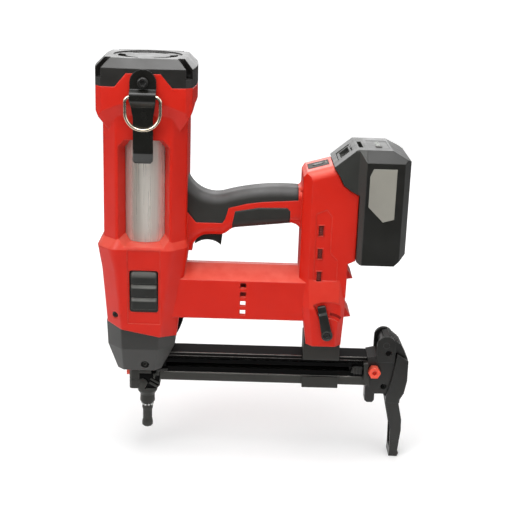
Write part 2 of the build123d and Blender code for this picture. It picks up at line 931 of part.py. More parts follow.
def hanger():
    """Spring-steel strap: a plate under the screw, a loop over the ring's bar and a curled tongue."""
    plate_y = -flare_half - strap_thick / 2 - fit
    loop_y = ring_bar_y - ring_wire - ring_ease - strap_thick / 2
    line = FilletPolyline((plate_y, strap_top_z), (plate_y, ring_bar_z + 5.6), (loop_y, ring_bar_z + 2.6),
                          (loop_y, ring_bar_z - 2.9), (plate_y - 0.45, ring_bar_z - 8.9),
                          (plate_y + 1.45, strap_low_z + 8), (plate_y - 1.55, strap_low_z), radius=1.6)
    edge = Pos(-strap_half, 0, 0) * (Plane.YZ * trace(line, strap_thick))
    strip = extrude(edge, 2 * strap_half, dir=(1, 0, 0))
    right = [(tongue_half - 3, strap_low_z - 1), (tongue_half, strap_low_z + 2),
             (tongue_half, ring_bar_z - 18.4), (strap_half, ring_bar_z - 2.4), (strap_half, hanger_screw_z)]
    front = plate(right + [(-x, z) for x, z in reversed(right)], -far, 0, 1.6)
    front += rod_y(strap_half, -far, 0, 0, hanger_screw_z)
    return (strip & front) - rod_y(hanger_screw_radius + fit, -far, 0, 0, hanger_screw_z)


def hanger_screw():
    """Button-head screw through the hanger's plate."""
    low = -flare_half - strap_thick - 2 * fit
    body = rod_y(hanger_head_radius, low - 2.8, low, 0, hanger_screw_z)
    body += rod_y(hanger_screw_radius, low - 0.5, -flare_half + 5, 0, hanger_screw_z)
    return body - Pos(0, low - 3.8, hanger_screw_z) * Rot(-90, 0, 0) * extrude(RegularPolygon(2.6, 6), 3)


def d_ring():
    """Wire ring that hangs from its bar inside the hanger's loop."""
    top = ring_bar_z
    low = top - ring_drop + ring_half
    edge = ring_half - ring_corner
    lines = [Line((-edge, top), (edge, top)),
             RadiusArc((edge, top), (ring_half, top - ring_corner), ring_corner),
             Line((ring_half, top - ring_corner), (ring_half, low)),
             ThreePointArc((ring_half, low), (0, low - ring_half), (-ring_half, low)),
             Line((-ring_half, low), (-ring_half, top - ring_corner)),
             RadiusArc((-ring_half, top - ring_corner), (-edge, top), ring_corner)]
    path = Pos(0, ring_bar_y, 0) * (Plane.XZ * Wire([line.edge() for line in lines]))
    section = Plane(origin=(0, ring_bar_y, top), z_dir=(1, 0, 0)) * Circle(ring_wire)
    return sweep(section, path=path)


# Drive

def air_cylinder():
    """Polished tube of the air spring."""
    return rod_z(tube_radius, tube_low_z, tube_high_z) - rod_z(tube_radius - tube_wall, 0, tube_high_z + far)


def cylinder_head():
    """Head plug with a flange on top of the tube."""
    top = tube_high_z + head_height
    body = turned([(0, tube_high_z - 6), (piston_radius, tube_high_z - 6), (piston_radius, tube_high_z),
                   (head_radius, tube_high_z), (head_radius, top - 2), (head_radius - 4, top), (0, top)])
    return body - rod_z(valve_radius, top - 4, top + 1)


def fill_valve():
    """Valve through which the cylinder is charged."""
    low = tube_high_z + head_height - 4
    high = low + valve_height
    return turned([(0, low), (valve_radius - fit, low), (valve_radius - fit, high - 7), (4.2, high - 7),
                   (4.2, high - 1), (3.2, high), (0, high)])


def blade_slot(z_low, z_high):
    """Passage for the driver and its teeth."""
    return block(-rack_half_width - 1, rack_half_width + tooth_height + 1, -rack_half_thickness - 1,
                 rack_half_thickness + 1, z_low, z_high)


def cylinder_base():
    """Flanged base under the tube."""
    low = tube_low_z - base_height
    body = turned([(0, low), (base_radius - 4, low), (base_radius, low + 4), (base_radius, tube_low_z),
                   (0, tube_low_z)])
    return body - blade_slot(low - 1, tube_low_z + 1)


def bump_stop():
    """Elastic stop that the piston lands on."""
    radius = piston_radius
    low = tube_low_z
    body = turned([(0, low), (radius, low), (radius, low + 9), (radius - 3, low + 12), (radius - 3, low + 16),
                   (radius - 6, low + bump_height), (0, low + bump_height)])
    return body - blade_slot(low - 1, low + bump_height + 1)


def piston():
    """Piston with a groove for its seal."""
    low = piston_low_z
    high = low + piston_height
    groove = piston_radius - seal_depth
    seal_low = low + (piston_height - seal_width) / 2
    seal_high = seal_low + seal_width
    return turned([(0, low), (piston_radius - 3, low), (piston_radius, low + 3), (piston_radius, seal_low),
                   (groove, seal_low), (groove, seal_high), (piston_radius, seal_high), (piston_radius, high),
                   (0, high)])


def piston_seal():
    """Seal ring in the piston's groove."""
    low = piston_low_z + (piston_height - seal_width) / 2 + fit
    high = low + seal_width - 2 * fit
    inner = piston_radius - seal_depth + fit
    return rod_z(tube_radius - tube_wall - run, low, high) - rod_z(inner, low - 1, high + 1)


def driver_blade():
    """Driver: a round striking rod below a toothed rack."""
    pitch = 2 * pi * lifter_pin_circle / lifter_pin_count
    half = rack_half_thickness
    root = rack_half_width - 0.5
    tip = rack_half_width + tooth_height
    blade = rod_z(rod_radius, driver_tip_z, rack_low_z + 1)
    blade += block(-rack_half_width, rack_half_width, -half, half, rack_low_z, piston_low_z)
    for step in range(tooth_count):
        z = lifter_z + (step + 0.5) * pitch
        blade += plate([(root, z - tooth_root / 2), (tip, z - tooth_tip / 2), (tip, z + tooth_tip / 2),
                        (root, z + tooth_root / 2)], -half, half)
    return blade


def lifter_wheel():
    """Two discs on a hub, with the lifter pins between them."""
    body = rod_y(lifter_hub_radius, -lifter_disc_outer, lifter_disc_outer, lifter_x, lifter_z)
    for side in (-1, 1):
        low, high = span(side, lifter_disc_inner, lifter_disc_outer)
        body += rod_y(lifter_disc_radius, low, high, lifter_x, lifter_z)
    return body - rod_y(lifter_shaft_radius, -far, far, lifter_x, lifter_z)


def lifter_pins():
    """Pins that lift the driver by its teeth."""
    pins = []
    for step in range(lifter_pin_count):
        turn = 2 * pi * step / lifter_pin_count
        x = lifter_x - lifter_pin_circle * cos(turn)
        z = lifter_z + lifter_pin_circle * sin(turn)
        pins.append(rod_y(lifter_pin_radius, -lifter_disc_inner, lifter_disc_inner, x, z))
    return Compound(pins)


def lifter_shaft():
    """Shaft of the lifter wheel."""
    half = cheek_outer + 0.5
    return rod_y(lifter_shaft_radius, -half, half, lifter_x, lifter_z)


def lifter_bearings():
    """Bearing rings in the gearbox cheeks."""
    rings = []
    for side in (-1, 1):
        ring = rod_y(bearing_radius, *span(side, cheek_inner, cheek_outer), lifter_x, lifter_z)
        rings.append(ring - rod_y(lifter_shaft_radius + run, -far, far, lifter_x, lifter_z))
    return Compound(rings)


def gearbox():
    """Closed right-angle gearbox whose two cheeks hold the lifter's bearings."""
    body = rod_x(gearbox_radius, gearbox_front, gearbox_rear, 0, motor_z)
    rear = gearbox_rear - 6
    outline = [(rear, motor_z - 12), (rear, motor_z + 12), (lifter_x + 14, lifter_z + 1),
               (lifter_x + 7, lifter_z + 10), (lifter_x - 6, lifter_z + 10), (lifter_x - 11.5, lifter_z),
               (lifter_x - 6, lifter_z - 10), (gearbox_front, motor_z - 12)]
    for side in (-1, 1):
        body += plate(outline, *span(side, cheek_inner, cheek_outer))
    body -= rod_y(bearing_radius, -far, far, lifter_x, lifter_z)
    return body - rod_x(motor_shaft_radius + run, gearbox_rear - 7, gearbox_rear + 1, 0, motor_z)


def motor_can():
    """Motor casing."""
    can = rod_x(motor_radius, motor_front, motor_rear, 0, motor_z)
    can -= rod_x(motor_radius - motor_wall, motor_front + 3, motor_rear - 3, 0, motor_z)
    return can - rod_x(motor_shaft_radius + run, motor_front - 1, motor_rear + 1, 0, motor_z)


def motor_rotor():
    """Motor shaft with its core."""
    shaft = rod_x(motor_shaft_radius, gearbox_rear - 6, fan_rear + 2, 0, motor_z)
    core = motor_radius - 2 * motor_wall
    return shaft + rod_x(core, motor_front + 6, motor_rear - 6, 0, motor_z)


def cooling_fan():
    """Fan on the motor shaft."""
    fan = rod_x(fan_hub_radius, fan_front, fan_rear, 0, motor_z)
    blade = block(fan_front + 0.5, fan_rear, -0.8, 0.8, fan_hub_radius - 1, fan_radius)
    for step in range(fan_blades):
        fan += Pos(0, 0, motor_z) * Rot(360 / fan_blades * step, 0, 0) * blade
    return fan - rod_x(motor_shaft_radius, fan_front - 1, fan_rear + 1, 0, motor_z)


# Electrics and controls

def control_board():
    """Circuit board with a few tall parts."""
    board = block(154, 182, -0.8, 0.8, 118, 178)
    board += block(158, 176, -8, -0.5, 124, 140)
    for x in (164, 176):
        board += rod_y(5, -14, -0.5, x, 156)
    return board


def trigger_switch():
    """Switch inside the handle, above the trigger."""
    half = handle_room - seat
    body = block(47, 70, -half, half, handle_room_low + seat, handle_room_high - 4)
    return body + block(60, 66, -3, 3, handle_room_low - 3.5, handle_room_low + 1)


def trigger_face():
    """Side outline of the trigger."""
    front = ThreePointArc((44.8, 191.6), (54, 196), (69.4, 191.2))
    rest = Polyline((69.4, 191.2), (71, 205), (56, 205.5), (52.2, 208.5), (45.8, 208.5), (45.2, 200),
                    (44.8, 191.6))
    return make_face(Plane.XZ * Curve([front, rest]))


def trigger():
    """Trigger that swings on its pin into the handle."""
    body = extrude(Pos(0, -trigger_half, 0) * trigger_face(), 2 * trigger_half, dir=(0, 1, 0))
    return body - rod_y(trigger_pin_radius + run, -far, far, trigger_pin_x, trigger_pin_z)


def trigger_pin():
    """Pin of the trigger."""
    return rod_y(trigger_pin_radius, -trigger_pin_half, trigger_pin_half, trigger_pin_x, trigger_pin_z)


def panel_plane():
    """Plane of the sloped top of the rear housing, at the control panel's centre."""
    return slope_plane((rear_brow_x, rear_brow_z), (rear_peak_x, rear_peak_z), panel_place)


def control_panel():
    """Grey panel around the power button."""
    panel = Box(panel_long - 2 * fit, panel_wide - 2 * fit, panel_thick)
    panel -= Box(button_long + 2 * gap, button_wide + 2 * gap, 10)
    return panel_plane() * Pos(0, 0, -panel_thick / 2 + 0.3) * panel


def power_button():
    """Button that wakes the tool."""
    return panel_plane() * Pos(0, 0, -5.2) * extrude(SlotOverall(button_long, button_wide), 6)


def selector_lever():
    """Turning lever on the near side of the rear housing's foot."""
    high = -rear_foot_half - gap
    low = high - lever_thick
    lever = rod_y(5.4, low, high, 0, 0)
    lever += plate([(-5.2, 1), (5.2, 1), (4, lever_reach), (-4, lever_reach)], low, high, 1)
    lever += plate([(-4, lever_reach - 7), (4, lever_reach - 7), (4, lever_reach), (-4, lever_reach)],
                   low, high + lever_sink)
    lever += rod_y(lever_shaft_radius, high - 1, -rear_foot_half + lever_shaft_length - 1, 0, 0)
    lever -= rod_y(screw_head_radius + 0.2, low - 1, low + 1.6, 0, 0)
    return Pos(lever_x, 0, lever_z) * Rot(0, -lever_lean, 0) * lever


def lever_screw():
    """Socket screw at the lever's pivot."""
    high = -rear_foot_half - gap - lever_thick + 1.6
    body = rod_y(screw_head_radius, high - 1.5, high, lever_x, lever_z)
    return body - Pos(lever_x, high - 2.5, lever_z) * Rot(-90, 0, 0) * extrude(RegularPolygon(1.5, 6), 2)


# Nose

def nose_form(inset, low_z):
    """Nose housing form, smaller by inset on all sides."""
    levels = [(nose_low_front, nose_low_rear, nose_low_half, nose_low_cut, low_z),
              (nose_front + 1, nose_rear - 1.5, nose_half - 1, nose_cut, nose_crease_z),
              (nose_front, nose_rear, nose_half, nose_cut, nose_top_z)]
    sections = []
    for front, rear, half, corner, z in levels:
        sections.append(cut_corners(front + inset, rear - inset, half - inset, corner, nose_soft, z))
    return loft(sections, ruled=True)


def nose_housing():
    """Cast nose housing under the slanted parting plane."""
    block_room = nose_block_half + seat
    rail_room = magazine_half + seat
    body = nose_form(0, nose_low_z) - nose_form(nose_wall, nose_low_z + 6)
    body -= above_parting(nose_top_z + far)
    body -= block(front_plate_front - seat, magazine_front + 1, -block_room, block_room, nose_low_z - 7,
                  nose_block_high_z + 2)
    body -= block(5, far, -rail_room, rail_room, magazine_low_z - 4, magazine_high_z + seat)
    for side in (-1, 1):
        body -= rod_y(screw_radius + fit, *span(side, nose_block_half - 1, far), 0, nose_screw_z)
        body -= rod_y(nose_well_radius, *span(side, nose_screw_seat, far), 0, nose_screw_z)
    return body


def nose_screws():
    """Screws that hold the nose housing on the nose block."""
    near = Pos(0, -nose_screw_seat, nose_screw_z) * Rot(90, 0, 0) * screw(nose_screw_seat - 5)
    return Compound([near, mirrored(near)])


def nose_block():
    """Steel block that guides the driver and takes the nails from the magazine."""
    outline = [(front_plate_rear, collar_top_z), (8.5, collar_top_z), (magazine_front, collar_top_z + 5),
               (magazine_front, nose_block_high_z), (-4, nose_block_high_z),
               (front_plate_rear, nose_block_high_z - 18)]
    body = plate(outline, -nose_block_half, nose_block_half)
    body -= rod_z(rod_radius + run, collar_top_z - 3, nose_block_high_z + 10)
    body -= rod_z(tip_shank_radius + gap, collar_top_z - 3, tip_shank_high_z + tip_travel + 2)
    body -= block(0, magazine_front + 1, -1.9, 1.9, track_low_z - 11.6, track_high_z - 4.6)
    scoop = [(3, collar_top_z + 4), (9, collar_top_z + 4), (magazine_front + 1, collar_top_z + 12),
             (magazine_front + 1, collar_top_z + 18), (3, collar_top_z + 18)]
    for side in (-1, 1):
        body -= plate(scoop, *span(side, nose_block_half - 1.6, far))
        body -= rod_y(screw_radius + fit, *span(side, 4, far), 0, nose_screw_z)
    return body


def nose_front_plate():
    """Front plate of the nose, with a seam across it and a bore for the release button."""
    half = nose_block_half
    body = block(front_plate_front, front_plate_rear, -half, half, front_plate_low_z, front_plate_high_z)
    body = chamfer(body.edges().filter_by(Axis.Z).group_by(Axis.X)[0], 2)
    seam_z = front_plate_low_z + 9
    seam = block(-far, 0, -far, far, seam_z, seam_z + 0.6)
    seam -= block(front_plate_front + 0.6, 0, -half + 0.6, half - 0.6, seam_z - 1, seam_z + 1)
    return body - seam - rod_x(jam_radius + gap, -far, jam_end + 3.5, 0, jam_z)


def jam_release():
    """Red button on the front of the nose."""
    return rod_x(jam_radius, front_plate_front - jam_proud, jam_end, 0, jam_z)


def nose_collar():
    """Stepped collar under the nose block."""
    bore = tip_shank_radius + run
    return turned([(bore, collar_low_z), (collar_low_radius - 0.5, collar_low_z),
                   (collar_low_radius, collar_low_z + 1.4), (collar_low_radius - 0.3, collar_top_z - 8.6),
                   (collar_radius - 1.6, collar_top_z - 6.6), (collar_radius, collar_top_z - 4),
                   (collar_radius, collar_top_z), (bore, collar_top_z)])


def nose_tip():
    """Contact tip that slides up into the collar, with a groove for the ring of balls."""
    groove_low = ball_ring_z - ball_radius - 0.1
    groove_high = ball_ring_z + ball_radius + 0.1
    groove = ball_ring_radius - ball_radius - fit
    return turned([(muzzle_bore, 0), (tip_radius - 1.2, 0), (tip_radius, 1.4), (tip_radius, 4.5),
                   (tip_neck_radius, 8), (tip_neck_radius, 17), (tip_radius, 20), (tip_radius, groove_low),
                   (groove, groove_low), (groove, groove_high), (tip_shank_radius - 0.4, groove_high),
                   (tip_shank_radius, groove_high + 1.4), (tip_shank_radius, tip_shank_high_z),
                   (muzzle_bore, tip_shank_high_z)])


def detent_balls():
    """Ring of steel balls around the tip."""
    balls = []
    for step in range(ball_count):
        turn = 2 * pi * step / ball_count
        x = ball_ring_radius * cos(turn)
        y = ball_ring_radius * sin(turn)
        balls.append(Pos(x, y, ball_ring_z) * Sphere(ball_radius))
    return Compound(balls)


# Magazine

def upper_rail():
    """Upper rail of the magazine, an inverted channel with a groove in each side."""
    half = magazine_half
    top = magazine_high_z
    low = track_high_z
    neck = half - rail_groove
    right = [(half - 1, top), (half, top - 1), (half, top - rail_lip), (neck, top - rail_lip), (neck, low),
             (rail_slot_half, low), (rail_slot_half, top - rail_wall)]
    return bar(right + [(-y, z) for y, z in reversed(right)], magazine_front, magazine_rear)


def lower_rail():
    """Lower rail of the magazine."""
    half = magazine_half
    low = magazine_low_z
    top = track_low_z
    right = [(half - 1, low), (half, low + 1), (half, top - 1.4), (half - 1, top), (rail_slot_half, top),
             (rail_slot_half, low + rail_wall)]
    return bar(right + [(-y, z) for y, z in reversed(right)], magazine_front, magazine_rear)


def track_liner():
    """Two black liners between the rails, with the pusher's slot in the near one."""
    liners = []
    for side in (-1, 1):
        liners.append(block(magazine_front, magazine_rear, *span(side, track_half - liner_thick, track_half),
                            track_low_z, track_high_z))
    liners[0] -= block(magazine_front + 6, magazine_rear - 1.5, -far, 0, slot_low_z, slot_high_z)
    return Compound(liners)


def pusher():
    """Nail pusher with a thumb tab outside the slot."""
    room = track_half - liner_thick - gap
    front = pusher_front
    body = block(front, front + pusher_length, -room, room, track_low_z + gap, track_high_z - gap)
    body -= block(front - 1, front + 5, -1.8, 1.8, track_low_z, track_high_z)
    body += block(front + 3, front + 11, -track_half - 1, -room + 1, slot_low_z + gap, slot_high_z - gap)
    tab = [(front + 1, slot_low_z - 0.4), (front + 12, slot_low_z - 1.6), (front + 12, slot_high_z + 1.6),
           (front + 3, slot_high_z + 1.6)]
    return body + plate(tab, -track_half - 3.2, -track_half - gap)


def rear_bracket():
    """Bracket that hangs the magazine from the rear housing, open on the near side for the pusher."""
    half = bracket_half
    inner = magazine_half + fit
    low = magazine_low_z - fit
    high = magazine_high_z + fit
    lip_low = track_low_z - 0.8
    lip_high = magazine_high_z - 3.6
    points = [(-half, rear_low_z), (half, rear_low_z), (half, magazine_low_z - bracket_floor),
              (-half, magazine_low_z - bracket_floor), (-half, lip_low), (-inner, lip_low), (-inner, low),
              (inner, low), (inner, high), (-inner, high), (-inner, lip_high), (-half, lip_high)]
    return bar(points, bracket_front, bracket_rear)


def end_block():
    """Block that closes the magazine, with two ears for the support leg's pin."""
    body = plate([(end_front, magazine_low_z), (end_front, magazine_high_z), (end_rear - 18, end_high_z),
                  (end_rear, end_high_z), (end_rear, end_low_z + 5.5), (end_rear - 4.5, end_low_z),
                  (end_front + 8.5, end_low_z)], -end_half, end_half)
    body += plate([(end_front + 0.5, magazine_low_z + 2), (end_front, 36.5), (end_front + 3, 34),
                   (end_front + 8, 34), (end_front + 10, 36.5), (end_front + 10, end_low_z + 3.5)], -6, 6)
    ear_front = ear_pin_x - ear_radius
    ear = plate([(ear_front, end_high_z - 6), (end_rear - 0.5, end_high_z - 6), (end_rear - 0.5, ear_pin_z),
                 (ear_front, ear_pin_z)], -ear_outer, ear_outer)
    ear += rod_y(ear_radius, -ear_outer, ear_outer, ear_pin_x, ear_pin_z)
    body += ear - block(ear_front - 1, end_rear + 1, -ear_inner, ear_inner, end_high_z, ear_pin_z + far)
    body -= block(end_front - 1, magazine_rear, -far, far, 0, 2 * far)
    body -= rod_y(ear_pin_radius + fit, -far, far, ear_pin_x, ear_pin_z)
    for x, z in ((ear_pin_x + 2.5, end_high_z + 3.5), (ear_pin_x, end_low_z + 7.5)):
        body -= rod_y(lock_hole_radius, -far, far, x, z)
    body -= release_form(gap, -far, -release_depth)
    return body


def release_form(ease, y_low, y_high):
    """Hexagonal bar along Y at the release button's place."""
    face = Plane.XZ * RegularPolygon(release_across / 2 + ease, 6, major_radius=False)
    return extrude(Pos(release_x, y_low, release_z) * face, y_high - y_low, dir=(0, 1, 0))


def magazine_release():
    """Red hexagonal release button."""
    low = -end_half - release_proud
    body = release_form(0, low, -release_depth - release_travel - gap)
    return body - rod_y(2.4, low - 1, low + 4, release_x, release_z)


def ear_pin():
    """Pin through the ears."""
    return rod_y(ear_pin_radius, -ear_outer, ear_outer, ear_pin_x, ear_pin_z)


def leg_points(points):
    """Points given from the ear pin's X, moved to their place."""
    return [(ear_pin_x + x, z) for x, z in points]


def support_leg():
    """Folded-steel leg that swings on the ear pin, with a ribbed thumb pad."""
    waist = leg_waist_z
    outline = [(10.8, 89), (22, 82), (22.2, 62), (19.8, 48.5), (16.2, waist), (16, 37), (20.2, 18), (20.6, 6),
               (18.6, -16), (19.8, -18.5), (18.4, leg_foot_z), (10.2, leg_foot_z), (10.6, -16), (10, 7),
               (4, 34), (2.2, waist), (7, 62.5), (10.2, 83)]
    leg = plate(leg_points(outline), -leg_half, leg_half)
    leg -= both_sides(block(0, 5 * far, leg_low_half, far, leg_foot_z - 1, waist - 4))
    inner = leg_half - leg_wall
    leg -= block(0, ear_pin_x + 18.5, -inner, inner, waist + 2, 2 * far)
    inner = leg_low_half - leg_wall
    hollow = [(-1, waist + 6), (13.6, waist - 4), (13.2, 36), (17.4, 18), (17.8, 6), (15.8, -14), (-6, -14)]
    leg -= plate(leg_points(hollow), -inner, inner)
    leg += thumb_arm()
    return leg - rod_y(ear_pin_radius + run, -far, far, ear_pin_x, ear_pin_z)


def thumb_arm():
    """Upper arm of the leg between the ears, with ribs under the thumb."""
    half = ear_inner - gap
    outline = [(-4.5, 95), (-2, 104.5), (3.5, 106), (14.5, 97.5), (22, 82.5), (18.5, 80), (12, 88.5),
               (5, 90.5)]
    arm = plate(leg_points(outline), -half, half)
    arm += rod_y(6, -half, half, ear_pin_x, ear_pin_z)
    for step in range(5):
        place = Pos(ear_pin_x + 4.6 + 2 * step, 0, 105.4 - 1.55 * step)
        arm -= place * Rot(0, 37.7, 0) * Box(0.9, 2 * far, 1.4)
    return arm


# Battery pack

def pack_form():
    """Battery pack with cut edges all round and a channel for the rail."""
    top = pack_high_z
    body = plate([(pack_front, pack_low_z + 2), *reversed(saddle_points(saddle_gap)), (pack_ridge_x, top),
                  (pack_rear - 17, top), (pack_rear, top - 9), (pack_rear, pack_low_z + 10.5),
                  (pack_rear - 10.5, pack_low_z), (pack_front + 3, pack_low_z)], -pack_half, pack_half)
    narrow = pack_half - pack_corner
    front = pack_seam - pack_corner
    right = [(rear_peak_x - 10, narrow), (front, narrow), (pack_seam, pack_half), (pack_rear - 6, pack_half),
             (pack_rear, narrow)]
    plan = make_face(Polyline(*right, *[(x, -y) for x, y in reversed(right)], close=True))
    body &= extrude(Pos(0, 0, pack_low_z - 1) * plan, 2 * far, dir=(0, 0, 1))
    body -= both_sides(bar([(narrow - 1, top + 0.5), (pack_half + 1, top - 12), (pack_half + 1, top + 5),
                            (narrow - 1, top + 5)], rear_peak_x - 10, pack_rear + 10))
    stem_end = pack_front + rail_stem
    stem_room = rail_stem_half + gap
    head_room = rail_head_half + gap
    body -= block(pack_front - 2, stem_end + gap, -stem_room, stem_room, pack_low_z - 1, rail_high_z + gap)
    return body - block(stem_end - gap, stem_end + rail_head + gap, -head_room, head_room, pack_low_z - 1,
                        rail_high_z + gap)


def shoulder_plane():
    """Plane of the pack's sloped shoulder, at its middle."""
    return slope_plane(saddle_points(saddle_gap)[0], (pack_ridge_x, pack_high_z), 0.5)


def pack_front_case():
    """Front half of the pack, with the latch pocket and a slot behind it."""
    body = pack_form() & block(0, pack_seam, -far, far, 0, 5 * far)
    pocket = Box(latch_long + 2 * gap, latch_wide + 2 * gap, latch_deep + 10)
    body -= shoulder_plane() * Pos(0, 0, -latch_deep / 2 + 5) * pocket
    return body - block(pack_ridge_x + 2, pack_ridge_x + 6, -18, 10, pack_high_z - 5, pack_high_z + 1)


def gauge_room(ease, z_low, z_high):
    """Rectangle of the gauge in the pack's top, smaller by ease."""
    centre = Pos(gauge_x, gauge_y, (z_low + z_high) / 2)
    return centre * Box(gauge_long - 2 * ease, gauge_wide - 2 * ease, z_high - z_low)


def gauge_button_form(ease, z_low, z_high):
    """Round form of the gauge's button, larger by ease."""
    return rod_z(gauge_button_radius + ease, z_low, z_high, gauge_x, gauge_button_y)


def lamp_form(y, ease, z_low, z_high):
    """One lamp of the gauge, larger by ease."""
    half_long = lamp_half_long + ease
    half_wide = lamp_half_wide + ease
    return block(gauge_x - half_long, gauge_x + half_long, y - half_wide, y + half_wide, z_low, z_high)


def pack_cell_case():
    """Rear half of the pack, which holds the cells."""
    body = pack_form() & block(pack_seam, 5 * far, -far, far, 0, 5 * far)
    body -= gauge_room(0, pack_high_z - gauge_deep, pack_high_z + 1)
    return body - gauge_button_form(gap, pack_high_z - 6, pack_high_z + 1)


def pack_latch():
    """Release button in the pack's sloped shoulder."""
    body = Box(latch_long, latch_wide, 5)
    body -= Pos(0, 0, 3.4) * Rot(90, 0, 0) * Cylinder(5, latch_wide - 8)
    return shoulder_plane() * Pos(0, 0, -3.1) * body


def gauge_panel():
    """Charge gauge on the pack's top."""
    low = pack_high_z - gauge_deep
    high = pack_high_z - 0.2
    panel = gauge_room(fit, low, high) - gauge_button_form(gap, low - 1, high + 1)
    for y in lamp_y:
        panel -= lamp_form(y, fit, low - 1, high + 1)
    return panel


def gauge_lamps():
    """Lamps of the gauge."""
    return Compound([lamp_form(y, 0, pack_high_z - gauge_deep, pack_high_z) for y in lamp_y])


def gauge_button():
    """Button that shows the charge."""
    return gauge_button_form(0, pack_high_z - 4.8, pack_high_z + 0.3)


def pack_label():
    """Plain plate on the near side of the pack."""
    low_x = pack_seam + 3
    points = [(low_x, 268), (low_x + 3, 275), (low_x + 24, 275), (low_x + 24, 229), (low_x + 14, 226),
              (low_x, 240)]
    return plate(points, -pack_half - label_thick, -pack_half)


housing = whole_housing()
pad = side_pad()
parts = {
    "housing_left": near_half(housing),
    "housing_right": far_half(housing),
    "housing_screws": housing_screws(),
    "top_cap": top_cap(),
    "cap_screws": cap_screws(),
    "hanger_strap": hanger(),
    "hanger_screw": hanger_screw(),
    "d_ring": d_ring(),
    "grip_upper": upper_grip(),
    "grip_lower": lower_grip(),
    "side_pad_left": pad,
    "side_pad_right": mirrored(pad),
    "air_cylinder": air_cylinder(),
    "cylinder_head": cylinder_head(),
    "fill_valve": fill_valve(),
    "cylinder_base": cylinder_base(),
    "bump_stop": bump_stop(),
    "piston": piston(),
    "piston_seal": piston_seal(),
    "driver_blade": driver_blade(),
    "lifter_wheel": lifter_wheel(),
    "lifter_pins": lifter_pins(),
    "lifter_shaft": lifter_shaft(),
    "lifter_bearings": lifter_bearings(),
    "gearbox": gearbox(),
    "motor_can": motor_can(),
    "motor_rotor": motor_rotor(),
    "cooling_fan": cooling_fan(),
    "control_board": control_board(),
    "trigger_switch": trigger_switch(),
    "trigger": trigger(),
    "trigger_pin": trigger_pin(),
    "control_panel": control_panel(),
    "power_button": power_button(),
    "selector_lever": selector_lever(),
    "lever_screw": lever_screw(),
    "nose_housing": nose_housing(),
    "nose_screws": nose_screws(),
    "nose_block": nose_block(),
    "nose_front_plate": nose_front_plate(),
    "jam_release": jam_release(),
    "nose_collar": nose_collar(),
    "nose_tip": nose_tip(),
    "detent_balls": detent_balls(),
    "magazine_upper_rail": upper_rail(),
    "magazine_lower_rail": lower_rail(),
    "magazine_liner": track_liner(),
    "pusher": pusher(),
    "rear_bracket": rear_bracket(),
    "end_block": end_block(),
    "magazine_release": magazine_release(),
    "ear_pin": ear_pin(),
    "support_leg": support_leg(),
    "pack_front_case": pack_front_case(),
    "pack_cell_case": pack_cell_case(),
    "pack_latch": pack_latch(),
    "gauge_panel": gauge_panel(),
    "gauge_lamps": gauge_lamps(),
    "gauge_button": gauge_button(),
    "pack_label": pack_label(),
}

os.makedirs("parts", exist_ok=True)
for node, shape in parts.items():
    export_step(shape, f"parts/{node}.step")
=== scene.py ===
"""Looks of the cordless concrete nailer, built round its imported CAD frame.

Everything is in metres and in the frame of the CAD: the origin is the middle of the muzzle's lower rim,
+X runs back along the magazine, +Y away from the near side and +Z up. A field whose name ends in _mm
holds millimetres.
"""

import logging
import math
from dataclasses import dataclass, field
from enum import Enum

import bmesh
import bpy
from mathutils import Matrix, Vector


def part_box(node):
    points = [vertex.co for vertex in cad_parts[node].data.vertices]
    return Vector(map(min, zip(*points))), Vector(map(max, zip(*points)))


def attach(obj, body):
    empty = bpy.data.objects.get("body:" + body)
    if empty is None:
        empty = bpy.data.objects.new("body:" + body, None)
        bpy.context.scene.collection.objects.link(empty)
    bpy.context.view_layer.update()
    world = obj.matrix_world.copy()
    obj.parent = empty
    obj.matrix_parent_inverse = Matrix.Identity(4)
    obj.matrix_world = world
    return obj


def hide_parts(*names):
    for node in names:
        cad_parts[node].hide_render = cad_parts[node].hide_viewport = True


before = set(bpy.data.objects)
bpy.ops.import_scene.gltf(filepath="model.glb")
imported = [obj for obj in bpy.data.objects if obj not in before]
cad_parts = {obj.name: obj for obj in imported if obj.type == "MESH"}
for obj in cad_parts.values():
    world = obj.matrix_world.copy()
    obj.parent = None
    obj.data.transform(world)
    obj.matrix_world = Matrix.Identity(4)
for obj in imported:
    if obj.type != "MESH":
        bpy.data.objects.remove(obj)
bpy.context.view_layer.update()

log = logging.getLogger("nailer")

Colour = tuple[float, float, float]
Point = tuple[float, float, float]
Flat = tuple[float, float]
Outline = tuple[Flat, ...]
Socket = bpy.types.NodeSocket

MM = 0.001
UP = Vector((0.0, 0.0, 1.0))
NEAR = Vector((0.0, -1.0, 0.0))
FAR = Vector((0.0, 1.0, 0.0))
BACK = Vector((1.0, 0.0, 0.0))
WHITE = (1.0, 1.0, 1.0, 1.0)

# Place of a softened rim's shoulder, as a share of the rim's width
ROUND_SHARE = 0.3
# Distance within which points are joined
WELD = 1e-7
# Least upward part of the normal of a face that looks up
LOOKS_UP = 0.3


class Grain(Enum):
    """Kinds of surface relief that a moulded finish can have."""

    SPARK = "spark"
    STIPPLE = "stipple"
    PEEL = "peel"


class Brush(Enum):
    """Directions that marks on bare metal can run in, as the noise's scale along each axis."""

    ALONG_X = (0.03, 1.0, 1.0)
    ALONG_Z = (1.0, 1.0, 0.02)
    EVEN = (1.0, 1.0, 1.0)


